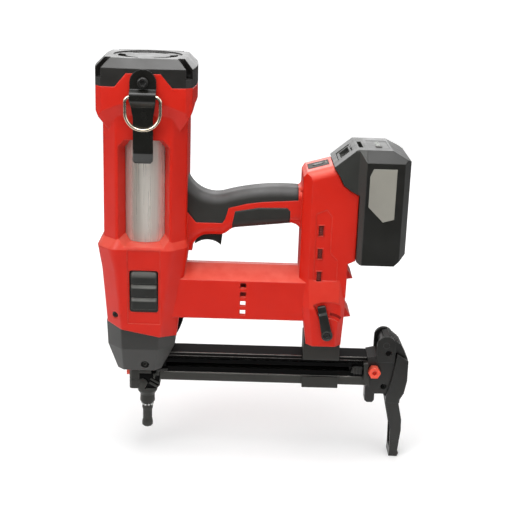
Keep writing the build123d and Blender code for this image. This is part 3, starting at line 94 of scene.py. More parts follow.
class Graph:
    """A node tree under construction."""

    def __init__(self, tree: bpy.types.NodeTree) -> None:
        """Take over a node tree.

        Args:
            tree: The tree, which is emptied first.
        """
        self.tree = tree
        self.tree.nodes.clear()

    def add(self, kind: str, **values: object) -> bpy.types.Node:
        """Add a node and set its properties.

        Args:
            kind: Blender's name of the node type.
            values: Properties of the node.

        Returns:
            The new node.
        """
        node = self.tree.nodes.new(kind)
        for key, value in values.items():
            setattr(node, key, value)
        return node

    def link(self, source: Socket, target: Socket) -> None:
        """Join two sockets."""
        self.tree.links.new(source, target)

    def math(self, operation: str, first: Socket, second: Socket | float) -> Socket:
        """Work out a value from two others.

        Args:
            operation: Blender's name of the operation.
            first: First value.
            second: Second value, or a plain number.

        Returns:
            The result.
        """
        node = self.add("ShaderNodeMath", operation=operation)
        self.link(first, node.inputs[0])
        if isinstance(second, float):
            node.inputs[1].default_value = second
        else:
            self.link(second, node.inputs[1])
        return node.outputs[0]

    def spread(self, value: Socket, low: float, high: float, start: float = 0.3, stop: float = 0.7) -> Socket:
        """Carry a value from one range to another.

        Args:
            value: The value to carry over.
            low: Result at start.
            high: Result at stop.
            start: First end of the range that is used.
            stop: Last end of the range that is used.

        Returns:
            The new value.
        """
        node = self.add("ShaderNodeMapRange")
        node.inputs["From Min"].default_value = start
        node.inputs["From Max"].default_value = stop
        node.inputs["To Min"].default_value = low
        node.inputs["To Max"].default_value = high
        self.link(value, node.inputs["Value"])
        return node.outputs["Result"]

    def axis(self, vector: Socket, name: str) -> Socket:
        """Take one axis out of a vector.

        Args:
            vector: The vector.
            name: X, Y or Z.

        Returns:
            The vector's part along that axis.
        """
        node = self.add("ShaderNodeSeparateXYZ")
        self.link(vector, node.inputs["Vector"])
        return node.outputs[name]


class Shader(Graph):
    """A node material under construction.

    An edge is sharp by how far the rounded surface turns away from the bare one: wholly where the product of
    their directions is at the first value of sharp_turn, and not at all at the last.
    """

    bevel_samples: int = 6
    sharp_turn: Flat = (0.80, 0.985)

    def __init__(self, name: str) -> None:
        """Start a material that holds only a shader and an output.

        Args:
            name: Name of the material.
        """
        self.material = bpy.data.materials.new(name)
        self.material.use_nodes = True
        super().__init__(self.material.node_tree)
        self.surface = self.add("ShaderNodeBsdfPrincipled")
        output = self.add("ShaderNodeOutputMaterial")
        self.link(self.surface.outputs["BSDF"], output.inputs["Surface"])
        self.place = self.add("ShaderNodeTexCoord").outputs["Object"]

    def noise(self, scale: float, detail: float = 3.0, stretch: Point = (1.0, 1.0, 1.0)) -> Socket:
        """Noise in the part's own space.

        Args:
            scale: Waves per metre.
            detail: Octaves of finer noise.
            stretch: Scale along each axis.

        Returns:
            A value from 0 to 1.
        """
        mapping = self.add("ShaderNodeMapping")
        mapping.inputs["Scale"].default_value = stretch
        self.link(self.place, mapping.inputs["Vector"])
        node = self.add("ShaderNodeTexNoise")
        node.inputs["Scale"].default_value = scale
        node.inputs["Detail"].default_value = detail
        self.link(mapping.outputs["Vector"], node.inputs["Vector"])
        return node.outputs["Fac"]

    def cells(self, scale: float) -> Socket:
        """Distance to the middle of the nearest cell.

        Args:
            scale: Cells per metre.

        Returns:
            The distance, from 0 upwards.
        """
        node = self.add("ShaderNodeTexVoronoi")
        node.inputs["Scale"].default_value = scale
        self.link(self.place, node.inputs["Vector"])
        return node.outputs["Distance"]

    def blend(self, amount: Socket, first: Colour | Socket, second: Colour) -> Socket:
        """Blend two colours by a value.

        Args:
            amount: 0 gives the first colour and 1 the second.
            first: First colour, plain or worked out by nodes.
            second: Second colour.

        Returns:
            The blended colour.
        """
        node = self.add("ShaderNodeMix", data_type="RGBA")
        colours = [socket for socket in node.inputs if socket.type == "RGBA"]
        if isinstance(first, tuple):
            colours[0].default_value = (*first, 1.0)
        else:
            self.link(first, colours[0])
        colours[1].default_value = (*second, 1.0)
        self.link(amount, node.inputs["Factor"])
        return [socket for socket in node.outputs if socket.type == "RGBA"][0]

    def facing(self) -> Socket:
        """Direction that the bare surface faces."""
        return self.add("ShaderNodeNewGeometry").outputs["Normal"]

    def rounded(self, radius: float) -> Socket:
        """Direction that the surface faces once its sharp edges are rounded.

        Args:
            radius: Radius of the rounding, in metres.

        Returns:
            The direction.
        """
        node = self.add("ShaderNodeBevel", samples=self.bevel_samples)
        node.inputs["Radius"].default_value = radius
        return node.outputs["Normal"]

    def edges(self, radius: float) -> Socket:
        """Find sharp edges.

        Args:
            radius: How far from an edge the mark reaches, in metres.

        Returns:
            1 on sharp edges, 0 on flats.
        """
        turn = self.add("ShaderNodeVectorMath", operation="DOT_PRODUCT")
        self.link(self.rounded(radius), turn.inputs[0])
        self.link(self.facing(), turn.inputs[1])
        return self.spread(turn.outputs["Value"], 1.0, 0.0, *self.sharp_turn)

    def upward(self) -> Socket:
        """How far the surface faces up, from -1 to 1."""
        return self.axis(self.facing(), "Z")

    def relief(self, height: Socket, depth: float, strength: float, edge: float) -> None:
        """Give the surface fine relief and softened edges.

        Args:
            height: Height of the relief, from 0 to 1.
            depth: Depth of the relief in metres.
            strength: Share of the relief that shows.
            edge: Radius in metres by which sharp edges look rounded.
        """
        bump = self.add("ShaderNodeBump")
        bump.inputs["Strength"].default_value = strength
        bump.inputs["Distance"].default_value = depth
        self.link(height, bump.inputs["Height"])
        self.link(self.rounded(edge), bump.inputs["Normal"])
        self.link(bump.outputs["Normal"], self.surface.inputs["Normal"])

    def set(self, socket: str, value: object) -> None:
        """Set one of the shader's own sockets to a value."""
        self.surface.inputs[socket].default_value = value

    def drive(self, socket: str, source: Socket) -> None:
        """Link one of the shader's own sockets."""
        self.link(source, self.surface.inputs[socket])


@dataclass(frozen=True)
class Moulding:
    """Moulded plastic or rubber, with its mould texture, faint mottling and rubbed edges.

    Edges are rubbed over the width named edge and look rounded by the radius named soft. Surfaces that face
    up get a painted sheen in the worn colour, as strong as the sheen field says, and the dust is how rough
    they have become.
    """

    name: str
    colour: Colour
    deep: Colour
    worn: Colour
    roughness: float
    rubbed: float
    grain: Grain = Grain.SPARK
    grain_scale: float = 2600.0
    grain_depth: float = 0.06 * MM
    strength: float = 0.35
    edge: float = 0.6 * MM
    specular: float = 0.5
    wear: float = 0.4
    dust: float = 0.0
    upward_sheen: float = 0.0
    soft: float = 0.8 * MM
    mottle_scale: float = 26.0
    patch_scale: float = 140.0
    patch_range: Flat = (0.40, 0.62)
    least_wear: float = 0.15
    sheen_patch_scale: float = 90.0
    sheen_patch_share: float = 0.6
    sheen_range: Flat = (0.06, 0.70)
    matt_scale: float = 70.0
    dust_range: Flat = (0.5, 0.95)

    def make(self) -> bpy.types.Material:
        """Build the material.

        Returns:
            The finished material.
        """
        shader = Shader(self.name)
        mottling = shader.spread(shader.noise(self.mottle_scale, detail=4.0), 0.0, 1.0)
        body = shader.blend(mottling, self.deep, self.colour)
        shader.drive("Base Color", shader.blend(self._rubbing_and_sheen(shader), body, self.worn))
        shader.drive("Roughness", self._matt(shader))
        shader.set("Specular IOR Level", self.specular)
        shader.relief(self._texture(shader), self.grain_depth, self.strength, self.soft)
        return shader.material

    def _rubbing_and_sheen(self, shader: Shader) -> Socket:
        """Find where the surface is rubbed, and where faces that look up get a painted sheen.

        Args:
            shader: Material under construction.

        Returns:
            Share of the worn colour, from 0 to 1.
        """
        patches = shader.noise(self.patch_scale, detail=4.0)
        patches = shader.spread(patches, self.least_wear, self.wear, *self.patch_range)
        rim = shader.math("MULTIPLY", shader.edges(self.edge), patches)
        if not self.upward_sheen:
            return rim
        # Painted sheen: faces that look up are lightened towards the worn colour in patches, standing in for
        # highlights.
        sheen_patches = shader.noise(self.sheen_patch_scale, detail=5.0)
        sheen_patches = shader.spread(sheen_patches, self.sheen_patch_share * self.upward_sheen, self.upward_sheen)
        upward = shader.spread(shader.upward(), 0.0, 1.0, *self.sheen_range)
        return shader.math("MAXIMUM", rim, shader.math("MULTIPLY", sheen_patches, upward))

    def _matt(self, shader: Shader) -> Socket:
        """Work out how rough the surface is.

        Args:
            shader: Material under construction.

        Returns:
            The roughness.
        """
        matt = shader.spread(shader.noise(self.matt_scale, detail=5.0), self.rubbed, self.roughness)
        if not self.dust:
            return matt
        return shader.math("MAXIMUM", matt, shader.spread(shader.upward(), 0.0, self.dust, *self.dust_range))

    def _texture(self, shader: Shader) -> Socket:
        """Make the mould texture.

        Args:
            shader: Material under construction.

        Returns:
            Height of the relief.
        """
        if self.grain is Grain.STIPPLE:
            return shader.cells(self.grain_scale)
        return shader.noise(self.grain_scale, detail=1.0 if self.grain is Grain.PEEL else 3.0)


@dataclass(frozen=True)
class BareMetal:
    """Bare, blackened or plated metal with fine scratches and edges rubbed bright."""

    name: str
    colour: Colour
    stain: Colour
    worn: Colour
    roughness: float
    polish: float
    brush: Brush = Brush.EVEN
    scratch_scale: float = 900.0
    scratch_depth: float = 0.02 * MM
    scratch_strength: float = 0.3
    edge: float = 0.4 * MM
    metallic: float = 1.0
    wear: float = 0.5
    cloud_scale: float = 45.0
    cloud_brush: Brush = Brush.EVEN
    patch_scale: float = 220.0
    patch_range: Flat = (0.40, 0.62)
    least_wear: float = 0.1

    def make(self) -> bpy.types.Material:
        """Build the material.

        Returns:
            The finished material.
        """
        shader = Shader(self.name)
        shader.set("Metallic", self.metallic)
        clouds = shader.noise(self.cloud_scale, detail=4.0, stretch=self.cloud_brush.value)
        body = shader.blend(shader.spread(clouds, 0.0, 1.0), self.stain, self.colour)
        patches = shader.noise(self.patch_scale, detail=4.0)
        patches = shader.spread(patches, self.least_wear, self.wear, *self.patch_range)
        rim = shader.math("MULTIPLY", shader.edges(self.edge), patches)
        shader.drive("Base Color", shader.blend(rim, body, self.worn))
        scratches = shader.noise(self.scratch_scale, detail=4.0, stretch=self.brush.value)
        shader.drive("Roughness", shader.spread(scratches, self.polish, self.roughness))
        shader.relief(scratches, self.scratch_depth, self.scratch_strength, self.edge)
        return shader.material


class Palette:
    """Every finish on the tool, made once and handed out by name."""

    grey_rim: Colour = (0.10, 0.10, 0.10)
    dark_rim: Colour = (0.07, 0.07, 0.07)
    bright_rim: Colour = (0.50, 0.50, 0.50)

    def __init__(self) -> None:
        """Make all finishes."""
        finishes = [*self._reds(), *self._rubbers(), *self._cases(), *self._fittings(), *self._metals()]
        self._made = {finish.name: finish.make() for finish in finishes}

    def _reds(self) -> list[Moulding]:
        """List the red plastics.

        Returns:
            The finishes.
        """
        return [
            # The shell's pale rubbed edges are partly wear and partly painted edge highlight, and its upward
            # sheen is a painted highlight.
            Moulding("red_shell", colour=(0.65, 0.014, 0.003), deep=(0.60, 0.011, 0.002),
                     worn=(0.82, 0.15, 0.10), roughness=0.42, rubbed=0.30, strength=0.14, edge=1.0 * MM,
                     specular=0.32, upward_sheen=0.70, soft=2.2 * MM),
            # A darker copy of the red housing, which paints the shade inside the rear housing's slots.
            Moulding("slot_shade_red", colour=(0.150, 0.016, 0.010), deep=(0.120, 0.012, 0.008),
                     worn=(0.30, 0.05, 0.04), roughness=0.50, rubbed=0.40, strength=0.2, specular=0.3),
            # A darker copy of the red housing, which paints the shadow in the recess under the selector
            # lever's sweep.
            Moulding("shadow_red", colour=(0.26, 0.006, 0.002), deep=(0.22, 0.005, 0.002),
                     worn=(0.36, 0.03, 0.02), roughness=0.50, rubbed=0.40, strength=0.2, specular=0.2),
            # The button's upward sheen is a painted highlight on faces that look up.
            Moulding("red_button", colour=(0.92, 0.090, 0.042), deep=(0.86, 0.072, 0.034),
                     worn=(0.92, 0.22, 0.15), roughness=0.36, rubbed=0.24, strength=0.2, upward_sheen=0.6),
        ]

    def _rubbers(self) -> list[Moulding]:
        """List the rubbers.

        Returns:
            The finishes.
        """
        return [
            # The upward sheen of both rubbers is a painted highlight on faces that look up.
            Moulding("grip_rubber", colour=(0.018, 0.018, 0.015), deep=(0.012, 0.012, 0.010),
                     worn=self.dark_rim, roughness=0.60, rubbed=0.46, grain=Grain.STIPPLE, grain_scale=1500.0,
                     grain_depth=0.10 * MM, strength=0.4, upward_sheen=0.7, soft=3.0 * MM),
            Moulding("pad_rubber", colour=(0.012, 0.013, 0.011), deep=(0.009, 0.010, 0.008),
                     worn=(0.24, 0.24, 0.22), roughness=0.54, rubbed=0.40, strength=0.5, edge=1.0 * MM,
                     upward_sheen=0.75),
        ]

    def _cases(self) -> list[Moulding]:
        """List the black and grey plastics and paints.

        Returns:
            The finishes.
        """
        return [
            Moulding("black_cap", colour=(0.016, 0.015, 0.013), deep=(0.011, 0.010, 0.009),
                     worn=self.grey_rim, roughness=0.42, rubbed=0.30, strength=0.4),
            Moulding("pack_black", colour=(0.013, 0.013, 0.011), deep=(0.009, 0.009, 0.008),
                     worn=self.grey_rim, roughness=0.42, rubbed=0.28, strength=0.3),
            Moulding("pack_grey", colour=(0.034, 0.035, 0.031), deep=(0.026, 0.027, 0.024),
                     worn=self.grey_rim, roughness=0.46, rubbed=0.34, strength=0.4),
            Moulding("panel_grey", colour=(0.085, 0.082, 0.078), deep=(0.070, 0.068, 0.064),
                     worn=(0.18, 0.18, 0.17), roughness=0.45, rubbed=0.34, strength=0.3, specular=0.3,
                     dust=0.75),
            Moulding("lever_black", colour=(0.010, 0.010, 0.008), deep=(0.007, 0.007, 0.006),
                     worn=self.dark_rim, roughness=0.40, rubbed=0.26, strength=0.4),
            Moulding("bracket_black", colour=(0.026, 0.026, 0.022), deep=(0.019, 0.019, 0.016),
                     worn=self.grey_rim, roughness=0.46, rubbed=0.34, strength=0.35, specular=0.4),
            Moulding("gloss_liner", colour=(0.0015, 0.0015, 0.0015), deep=(0.001, 0.001, 0.001),
                     worn=(0.03, 0.03, 0.03), roughness=0.20, rubbed=0.12, grain=Grain.PEEL,
                     grain_scale=420.0, grain_depth=0.03 * MM, strength=0.2, specular=0.07),
            # The rail's pale rubbed edges are partly wear and partly painted highlight lines along its edges.
            Moulding("rail_black", colour=(0.006, 0.005, 0.005), deep=(0.004, 0.0035, 0.0035),
                     worn=(0.30, 0.30, 0.28), roughness=0.26, rubbed=0.16, grain=Grain.PEEL,
                     grain_scale=420.0, grain_depth=0.03 * MM, strength=0.2, specular=0.1, wear=0.9,
                     dust=0.80),
            Moulding("nose_grey", colour=(0.036, 0.036, 0.033), deep=(0.028, 0.028, 0.026),
                     worn=self.grey_rim, roughness=0.46, rubbed=0.34, grain=Grain.PEEL, grain_scale=900.0,
                     grain_depth=0.08 * MM, strength=0.4, specular=0.45),
            Moulding("leg_black", colour=(0.012, 0.012, 0.010), deep=(0.008, 0.008, 0.007),
                     worn=self.grey_rim, roughness=0.40, rubbed=0.26, grain=Grain.PEEL, grain_scale=700.0,
                     specular=0.48, dust=0.80, soft=1.0 * MM),
            Moulding("strap_black", colour=(0.009, 0.009, 0.007), deep=(0.006, 0.006, 0.005),
                     worn=self.dark_rim, roughness=0.30, rubbed=0.20, grain=Grain.PEEL, grain_scale=900.0,
                     grain_depth=0.04 * MM, strength=0.3, soft=1.0 * MM),
        ]

    def _fittings(self) -> list[Moulding]:
        """List the finishes of the plate, the board and the lamps.

        Returns:
            The finishes.
        """
        return [
            Moulding("plate_film", colour=(0.31, 0.30, 0.26), deep=(0.28, 0.27, 0.235),
                     worn=(0.45, 0.45, 0.42), roughness=0.36, rubbed=0.28, grain=Grain.PEEL,
                     grain_scale=300.0, grain_depth=0.02 * MM, strength=0.1),
            Moulding("board_green", colour=(0.010, 0.120, 0.045), deep=(0.006, 0.085, 0.032),
                     worn=(0.05, 0.2, 0.1), roughness=0.40, rubbed=0.30, strength=0.2),
            Moulding("lamp_lens", colour=(0.30, 0.32, 0.28), deep=(0.24, 0.26, 0.22), worn=(0.4, 0.4, 0.4),
                     roughness=0.22, rubbed=0.14, grain=Grain.PEEL, grain_scale=900.0, grain_depth=0.02 * MM,
                     strength=0.1),
        ]

    def _metals(self) -> list[BareMetal]:
        """List the metals.

        Returns:
            The finishes.
        """
        return [
            BareMetal("satin_tube", colour=(0.86, 0.83, 0.76), stain=(0.44, 0.43, 0.38), worn=self.bright_rim,
                      roughness=0.36, polish=0.24, brush=Brush.ALONG_Z, scratch_scale=600.0, metallic=0.45,
                      cloud_scale=80.0, cloud_brush=Brush.ALONG_Z),
            BareMetal("plain_steel", colour=(0.56, 0.56, 0.55), stain=(0.46, 0.46, 0.45),
                      worn=(0.7, 0.7, 0.7), roughness=0.36, polish=0.24),
            BareMetal("black_steel", colour=(0.045, 0.045, 0.041), stain=(0.032, 0.032, 0.029),
                      worn=(0.22, 0.22, 0.20), roughness=0.44, polish=0.30, metallic=0.6),
            BareMetal("rail_grey", colour=(0.048, 0.048, 0.043), stain=(0.036, 0.036, 0.032),
                      worn=(0.24, 0.24, 0.22), roughness=0.42, polish=0.30, brush=Brush.ALONG_X,
                      scratch_scale=700.0, metallic=0.5),
            BareMetal("bright_edge", colour=(0.20, 0.19, 0.18), stain=(0.15, 0.145, 0.135),
                      worn=(0.4, 0.4, 0.38), roughness=0.28, polish=0.18, brush=Brush.ALONG_X,
                      scratch_scale=700.0),
            BareMetal("pale_ring", colour=(0.80, 0.72, 0.58), stain=(0.70, 0.60, 0.46),
                      worn=(0.9, 0.85, 0.75), roughness=0.24, polish=0.12),
            BareMetal("cast_grey", colour=(0.30, 0.30, 0.31), stain=(0.24, 0.24, 0.25), worn=self.bright_rim,
                      roughness=0.52, polish=0.40, metallic=0.6),
        ]

    def dress(self, node: str, finish: str) -> None:
        """Give a CAD node a finish.

        Args:
            node: Name of the CAD node.
            finish: Name of the finish.
        """
        self.paint(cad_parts[node], finish)
        log.info("%s: %s", node, finish)

    def paint(self, piece: bpy.types.Object, finish: str) -> None:
        """Give any piece a finish."""
        piece.data.materials.clear()
        piece.data.materials.append(self._made[finish])


def metres(points: Outline) -> list[Flat]:
    """Carry points from millimetres to metres."""
    return [(u * MM, v * MM) for u, v in points]


def rectangle(left: float, right: float, low: float, high: float) -> list[Flat]:
    """Corners of a rectangle, anticlockwise."""
    return [(left, low), (right, low), (right, high), (left, high)]


def arc(radius: float, start_deg: float, stop_deg: float, count: int) -> list[Flat]:
    """Points along an arc.

    Args:
        radius: Radius of the arc.
        start_deg: First angle, anticlockwise from the first axis.
        stop_deg: Last angle.
        count: Number of points.

    Returns:
        The points.
    """
    angles = [math.radians(start_deg + (stop_deg - start_deg) * step / (count - 1)) for step in range(count)]
    return [(radius * math.cos(angle), radius * math.sin(angle)) for angle in angles]


def oval(long: float, wide: float, steps: int = 16) -> list[Flat]:
    """Outline of a slot with round ends.

    Args:
        long: Its whole length.
        wide: Its width.
        steps: Points round each end.

    Returns:
        Its corners, anticlockwise.
    """
    shift = (long - wide) / 2
    right = [(u + shift, v) for u, v in arc(wide / 2, -90.0, 90.0, steps)]
    left = [(u - shift, v) for u, v in arc(wide / 2, 90.0, 270.0, steps)]
    return right + left


def shrunk(outline: list[Flat], inset: float) -> list[Flat]:
    """Draw an outline in by the same width on every side.

    Args:
        outline: Corners, anticlockwise.
        inset: Width that the outline is drawn in by.

    Returns:
        The new corners.
    """
    corners = []
    for before, here, after in zip(outline[-1:] + outline[:-1], outline, outline[1:] + outline[:1]):
        first = Vector((here[0] - before[0], here[1] - before[1])).normalized().orthogonal()
        second = Vector((after[0] - here[0], after[1] - here[1])).normalized().orthogonal()
        step = (first + second) * inset / (1 + first.dot(second))
        corners.append((here[0] + step.x, here[1] + step.y))
    return corners


@dataclass(frozen=True)
class Seat:
    """A flat place on the tool that a piece is built up from."""

    origin: Vector
    along: Vector
    across: Vector
    out: Vector

    def at(self, u: float, v: float, level: float) -> Vector:
        """Point of the tool at a place on the seat and a level above it."""
        return self.origin + self.along * u + self.across * v + self.out * level

    def ring(self, outline: list[Flat], level: float) -> list[Vector]:
        """Points of the tool along an outline on the seat, at a level above it."""
        return [self.at(u, v, level) for u, v in outline]


def near_seat(x: float, y: float, z: float) -> Seat:
    """Seat that faces the near side, with X along it and Z across it."""
    return Seat(Vector((x, y, z)), BACK, UP, NEAR)


def slope_seat(node: str) -> Seat:
    """Seat on the largest face of a CAD node that looks up.

    Args:
        node: Name of the CAD node.

    Returns:
        The seat, with its origin over the middle of the node.
    """
    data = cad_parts[node].data
    face = max((face for face in data.polygons if face.normal.z > LOOKS_UP), key=lambda face: face.area)
    out = face.normal.copy()
    low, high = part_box(node)
    middle = (low + high) / 2
    level = max(out.dot(vertex.co) for vertex in data.vertices)
    return Seat(middle + out * (level - out.dot(middle)), FAR.cross(out).normalized(), FAR, out)


def square_to(axis: Vector) -> Matrix:
    """Turn that carries +Z onto an axis."""
    return axis.to_track_quat("Z", "Y").to_matrix()


class Form:
    """A mesh under construction, made of rings of points.

    A rod's dome is as high as rod_dome_share of the rod's radius. Its rings give a reach as a share of that
    radius and a level as a share of the dome's height.
    """

    rod_dome: Outline = ((0.45, 0.0), (0.85, 0.35), (1.0, 1.0))
    rod_dome_share: float = 0.6

    def __init__(self) -> None:
        """Start with an empty mesh."""
        self.mesh = bmesh.new()

    def skin(self, rings: list[list[Vector]], lids: bool = True) -> None:
        """Span a skin over rings that have equal numbers of points.

        Args:
            rings: Rings of points, in order.
            lids: Whether the first and the last ring are closed.
        """
        rows = [[self.mesh.verts.new(point) for point in ring] for ring in rings]
        count = len(rows[0])
        for first, second in zip(rows, rows[1:]):
            for index in range(count):
                after = (index + 1) % count
                self.mesh.faces.new((first[index], first[after], second[after], second[index]))
        if lids:
            self.mesh.faces.new(reversed(rows[0]))
            self.mesh.faces.new(rows[-1])

    def slab(self, seat: Seat, outline: list[Flat], low: float, high: float, soft: float) -> None:
        """Raise an outline off a seat, with a softened rim.

        Args:
            seat: Where the outline lies.
            outline: Corners of the outline, anticlockwise.
            low: Level of its foot.
            high: Level of its face.
            soft: Width of the softened rim.
        """
        shoulder = soft * ROUND_SHARE
        levels = [(low, 0.0), (high - soft, 0.0), (high - shoulder, shoulder), (high, soft)]
        self.skin([seat.ring(shrunk(outline, inset), level) for level, inset in levels])

    def rim(self, seat: Seat, outline: list[Flat], wide: float, low: float, high: float) -> None:
        """Raise a closed rim along the inside of an outline.

        Args:
            seat: Where the outline lies.
            outline: Corners of the outline, anticlockwise.
            wide: Width of the rim.
            low: Level of its foot.
            high: Level of its crest.
        """
        soft = wide * ROUND_SHARE
        levels = [(low, 0.0), (high - soft, 0.0), (high, soft), (high, wide - soft), (high - soft, wide),
                  (low, wide), (low, 0.0)]
        self.skin([seat.ring(shrunk(outline, inset), level) for level, inset in levels], lids=False)

    def turned(self, seat: Seat, profile: list[Flat], steps: int = 32) -> None:
        """Turn a profile about the seat's axis.

        Args:
            seat: Where the axis stands.
            profile: Radius and level of each ring.
            steps: Points round each ring.
        """
        angles = [2 * math.pi * step / steps for step in range(steps)]
        circle = [(math.cos(angle), math.sin(angle)) for angle in angles]
        self.skin([seat.ring([(radius * u, radius * v) for u, v in circle], level)
                   for radius, level in profile])

    def rod(self, start: Vector, end: Vector, radius: float, steps: int = 12) -> None:
        """Run a rod with domed ends between two points.

        Args:
            start: First point.
            end: Last point.
            radius: Radius of the rod.
            steps: Points round each ring.
        """
        length = (end - start).length
        turn = square_to((end - start).normalized())
        dome = radius * self.rod_dome_share
        first = [(radius * reach, dome * level) for reach, level in self.rod_dome]
        last = [(reach, length - level) for reach, level in reversed(first)]
        self.turned(Seat(start, turn.col[0], turn.col[1], turn.col[2]), first + last, steps)

    def finish(self, name: str, smooth_deg: float = 32.0) -> bpy.types.Object:
        """Turn the mesh into an object.

        Args:
            name: Name of the piece.
            smooth_deg: Edges sharper than this stay sharp.

        Returns:
            The new object, in the scene.
        """
        bmesh.ops.remove_doubles(self.mesh, verts=self.mesh.verts, dist=WELD)
        bmesh.ops.recalc_face_normals(self.mesh, faces=self.mesh.faces)
        limit = math.radians(smooth_deg)
        for face in self.mesh.faces:
            face.smooth = True
        for edge in self.mesh.edges:
            edge.smooth = edge.calc_face_angle(0.0) < limit
        data = bpy.data.meshes.new(name)
        self.mesh.to_mesh(data)
        self.mesh.free()
        piece = bpy.data.objects.new(name, data)
        bpy.context.scene.collection.objects.link(piece)
        return piece


def leader(groups: dict[Point, Point], key: Point) -> Point:
    """Find the point that stands for a group.

    Args:
        groups: For each point another one of its group, or itself where it stands for the group.
        key: A point of the group.

    Returns:
        The point that stands for the group.
    """
    while groups[key] != key:
        groups[key] = groups[groups[key]]
        key = groups[key]
    return key


def solids_of(node: str) -> list[tuple[Vector, Vector]]:
    """Boxes of the separate solids in a CAD node.

    Args:
        node: Name of the CAD node.

    Returns:
        Lowest and highest corner of each solid.
    """
    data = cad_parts[node].data
    keys = [tuple(round(value, 6) for value in vertex.co) for vertex in data.vertices]
    groups = {key: key for key in keys}
    for edge in data.edges:
        first, second = (leader(groups, keys[index]) for index in edge.vertices)
        groups[first] = second
    solids: dict[Point, list[Point]] = {}
    for key in groups:
        solids.setdefault(leader(groups, key), []).append(key)
    boxes = []
    for points in sorted(solids.values()):
        low = Vector([min(point[axis] for point in points) for axis in range(3)])
        high = Vector([max(point[axis] for point in points) for axis in range(3)])
        boxes.append((low, high))
    return boxes


@dataclass(frozen=True)
class StarScrew:
    """Pan-head screw with a six-lobed socket and a turned thread.

    The rings of the head and of the socket give a level as a share of the head's height, and a reach as a
    share of the head's radius or of the socket's. A screw no longer than shank_from times its head's height
    has no shank.
    """

    head_height: float
    head_rings: Outline = ((-1.0, 0.97), (-0.92, 1.0), (-0.42, 1.0), (-0.18, 0.94), (-0.04, 0.82),
                           (0.0, 0.70))
    socket_rings: Outline = ((0.0, 1.06), (-0.08, 1.0), (-0.68, 0.96))
    socket_floor: Flat = (-0.74, 0.5)
    socket_share: float = 0.52
    lobe_share: float = 0.14
    lobes: int = 6
    steps: int = 48
    shank_share: float = 0.55
    point_share: float = 0.35
    thread_pitch: float = 1.2 * MM
    thread_root: float = 0.84
    shank_from: float = 1.2

    def build(self, form: Form, low: Vector, high: Vector, axis: Vector) -> None:
        """Add one screw that fills a box.

        Args:
            form: Mesh that the screw is added to.
            low: Lowest corner of the box.
            high: Highest corner of the box.
            axis: Direction that the head faces.
        """
        turn = square_to(axis)
        size = high - low
        length = abs(size.dot(axis))
        top = (low + high) / 2 + axis * length / 2
        radius = max(size - axis * size.dot(axis)) / 2
        rings = []
        for level, reach, lobe in self._profile(radius, length):
            ring = []
            for step in range(self.steps):
                angle = 2 * math.pi * step / self.steps
                out = reach * (1 + lobe * math.cos(self.lobes * angle))
                ring.append(top + turn @ Vector((out * math.cos(angle), out * math.sin(angle), level)))
            rings.append(ring)
        form.skin(rings)

    def _profile(self, radius: float, length: float) -> list[Point]:
        """Work out the rings from the screw's point to the socket's floor.

        Args:
            radius: Radius of the head.
            length: Length of the whole screw.

        Returns:
            Level, reach and lobe of each ring.
        """
        height = self.head_height
        socket = radius * self.socket_share
        rings = self._thread(radius * self.shank_share, length) if length > height * self.shank_from else []
        rings += [(height * level, radius * reach, 0.0) for level, reach in self.head_rings]
        rings += [(height * level, socket * reach, self.lobe_share) for level, reach in self.socket_rings]
        level, reach = self.socket_floor
        return [*rings, (height * level, socket * reach, 0.0)]

    def _thread(self, shank: float, length: float) -> list[Point]:
        """Work out the rings of the thread.

        Args:
            shank: Radius of the thread's crests.
            length: Length of the whole screw.

        Returns:
            Level, reach and lobe of each ring.
        """
        rings = [(-length, shank * self.point_share, 0.0)]
        level = -length + self.thread_pitch
        while level < -self.head_height - 2 * self.thread_pitch:
            rings.append((level, shank * self.thread_root, 0.0))
            rings.append((level + self.thread_pitch / 2, shank, 0.0))
            level += self.thread_pitch
        return [*rings, (-self.head_height, shank, 0.0)]


@dataclass
class Assembly:
    """A group of CAD nodes with their finishes."""

    finishes: dict[str, str]

    def dress(self, palette: Palette) -> None:
        """Give each node its finish.

        Args:
            palette: Finishes to take from.
        """
        for node, finish in self.finishes.items():
            palette.dress(node, finish)

    def detail(self, palette: Palette) -> None:
        """Add the fine pieces that the CAD leaves out, of which a plain group has none."""

    def add(self, piece: bpy.types.Object, body: str, slot: str, finish: str, palette: Palette) -> None:
        """Hand over a finished piece.

        Args:
            piece: The piece, in place.
            body: CAD body that carries it.
            slot: Material slot of the record; not used.
            finish: Name of its finish.
            palette: Finishes to take from.
        """
        palette.paint(piece, finish)
        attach(piece, body)
        log.info("%s: %s on %s", piece.name, finish, body)


@dataclass(frozen=True)
class Head:
    """What the star screws in the place of one CAD node are like.

    Screws that come from both sides have the axis of the far ones.
    """

    body: str
    axis: Vector
    height: float
    slot: str
    finish: str
    both_sides: bool = False


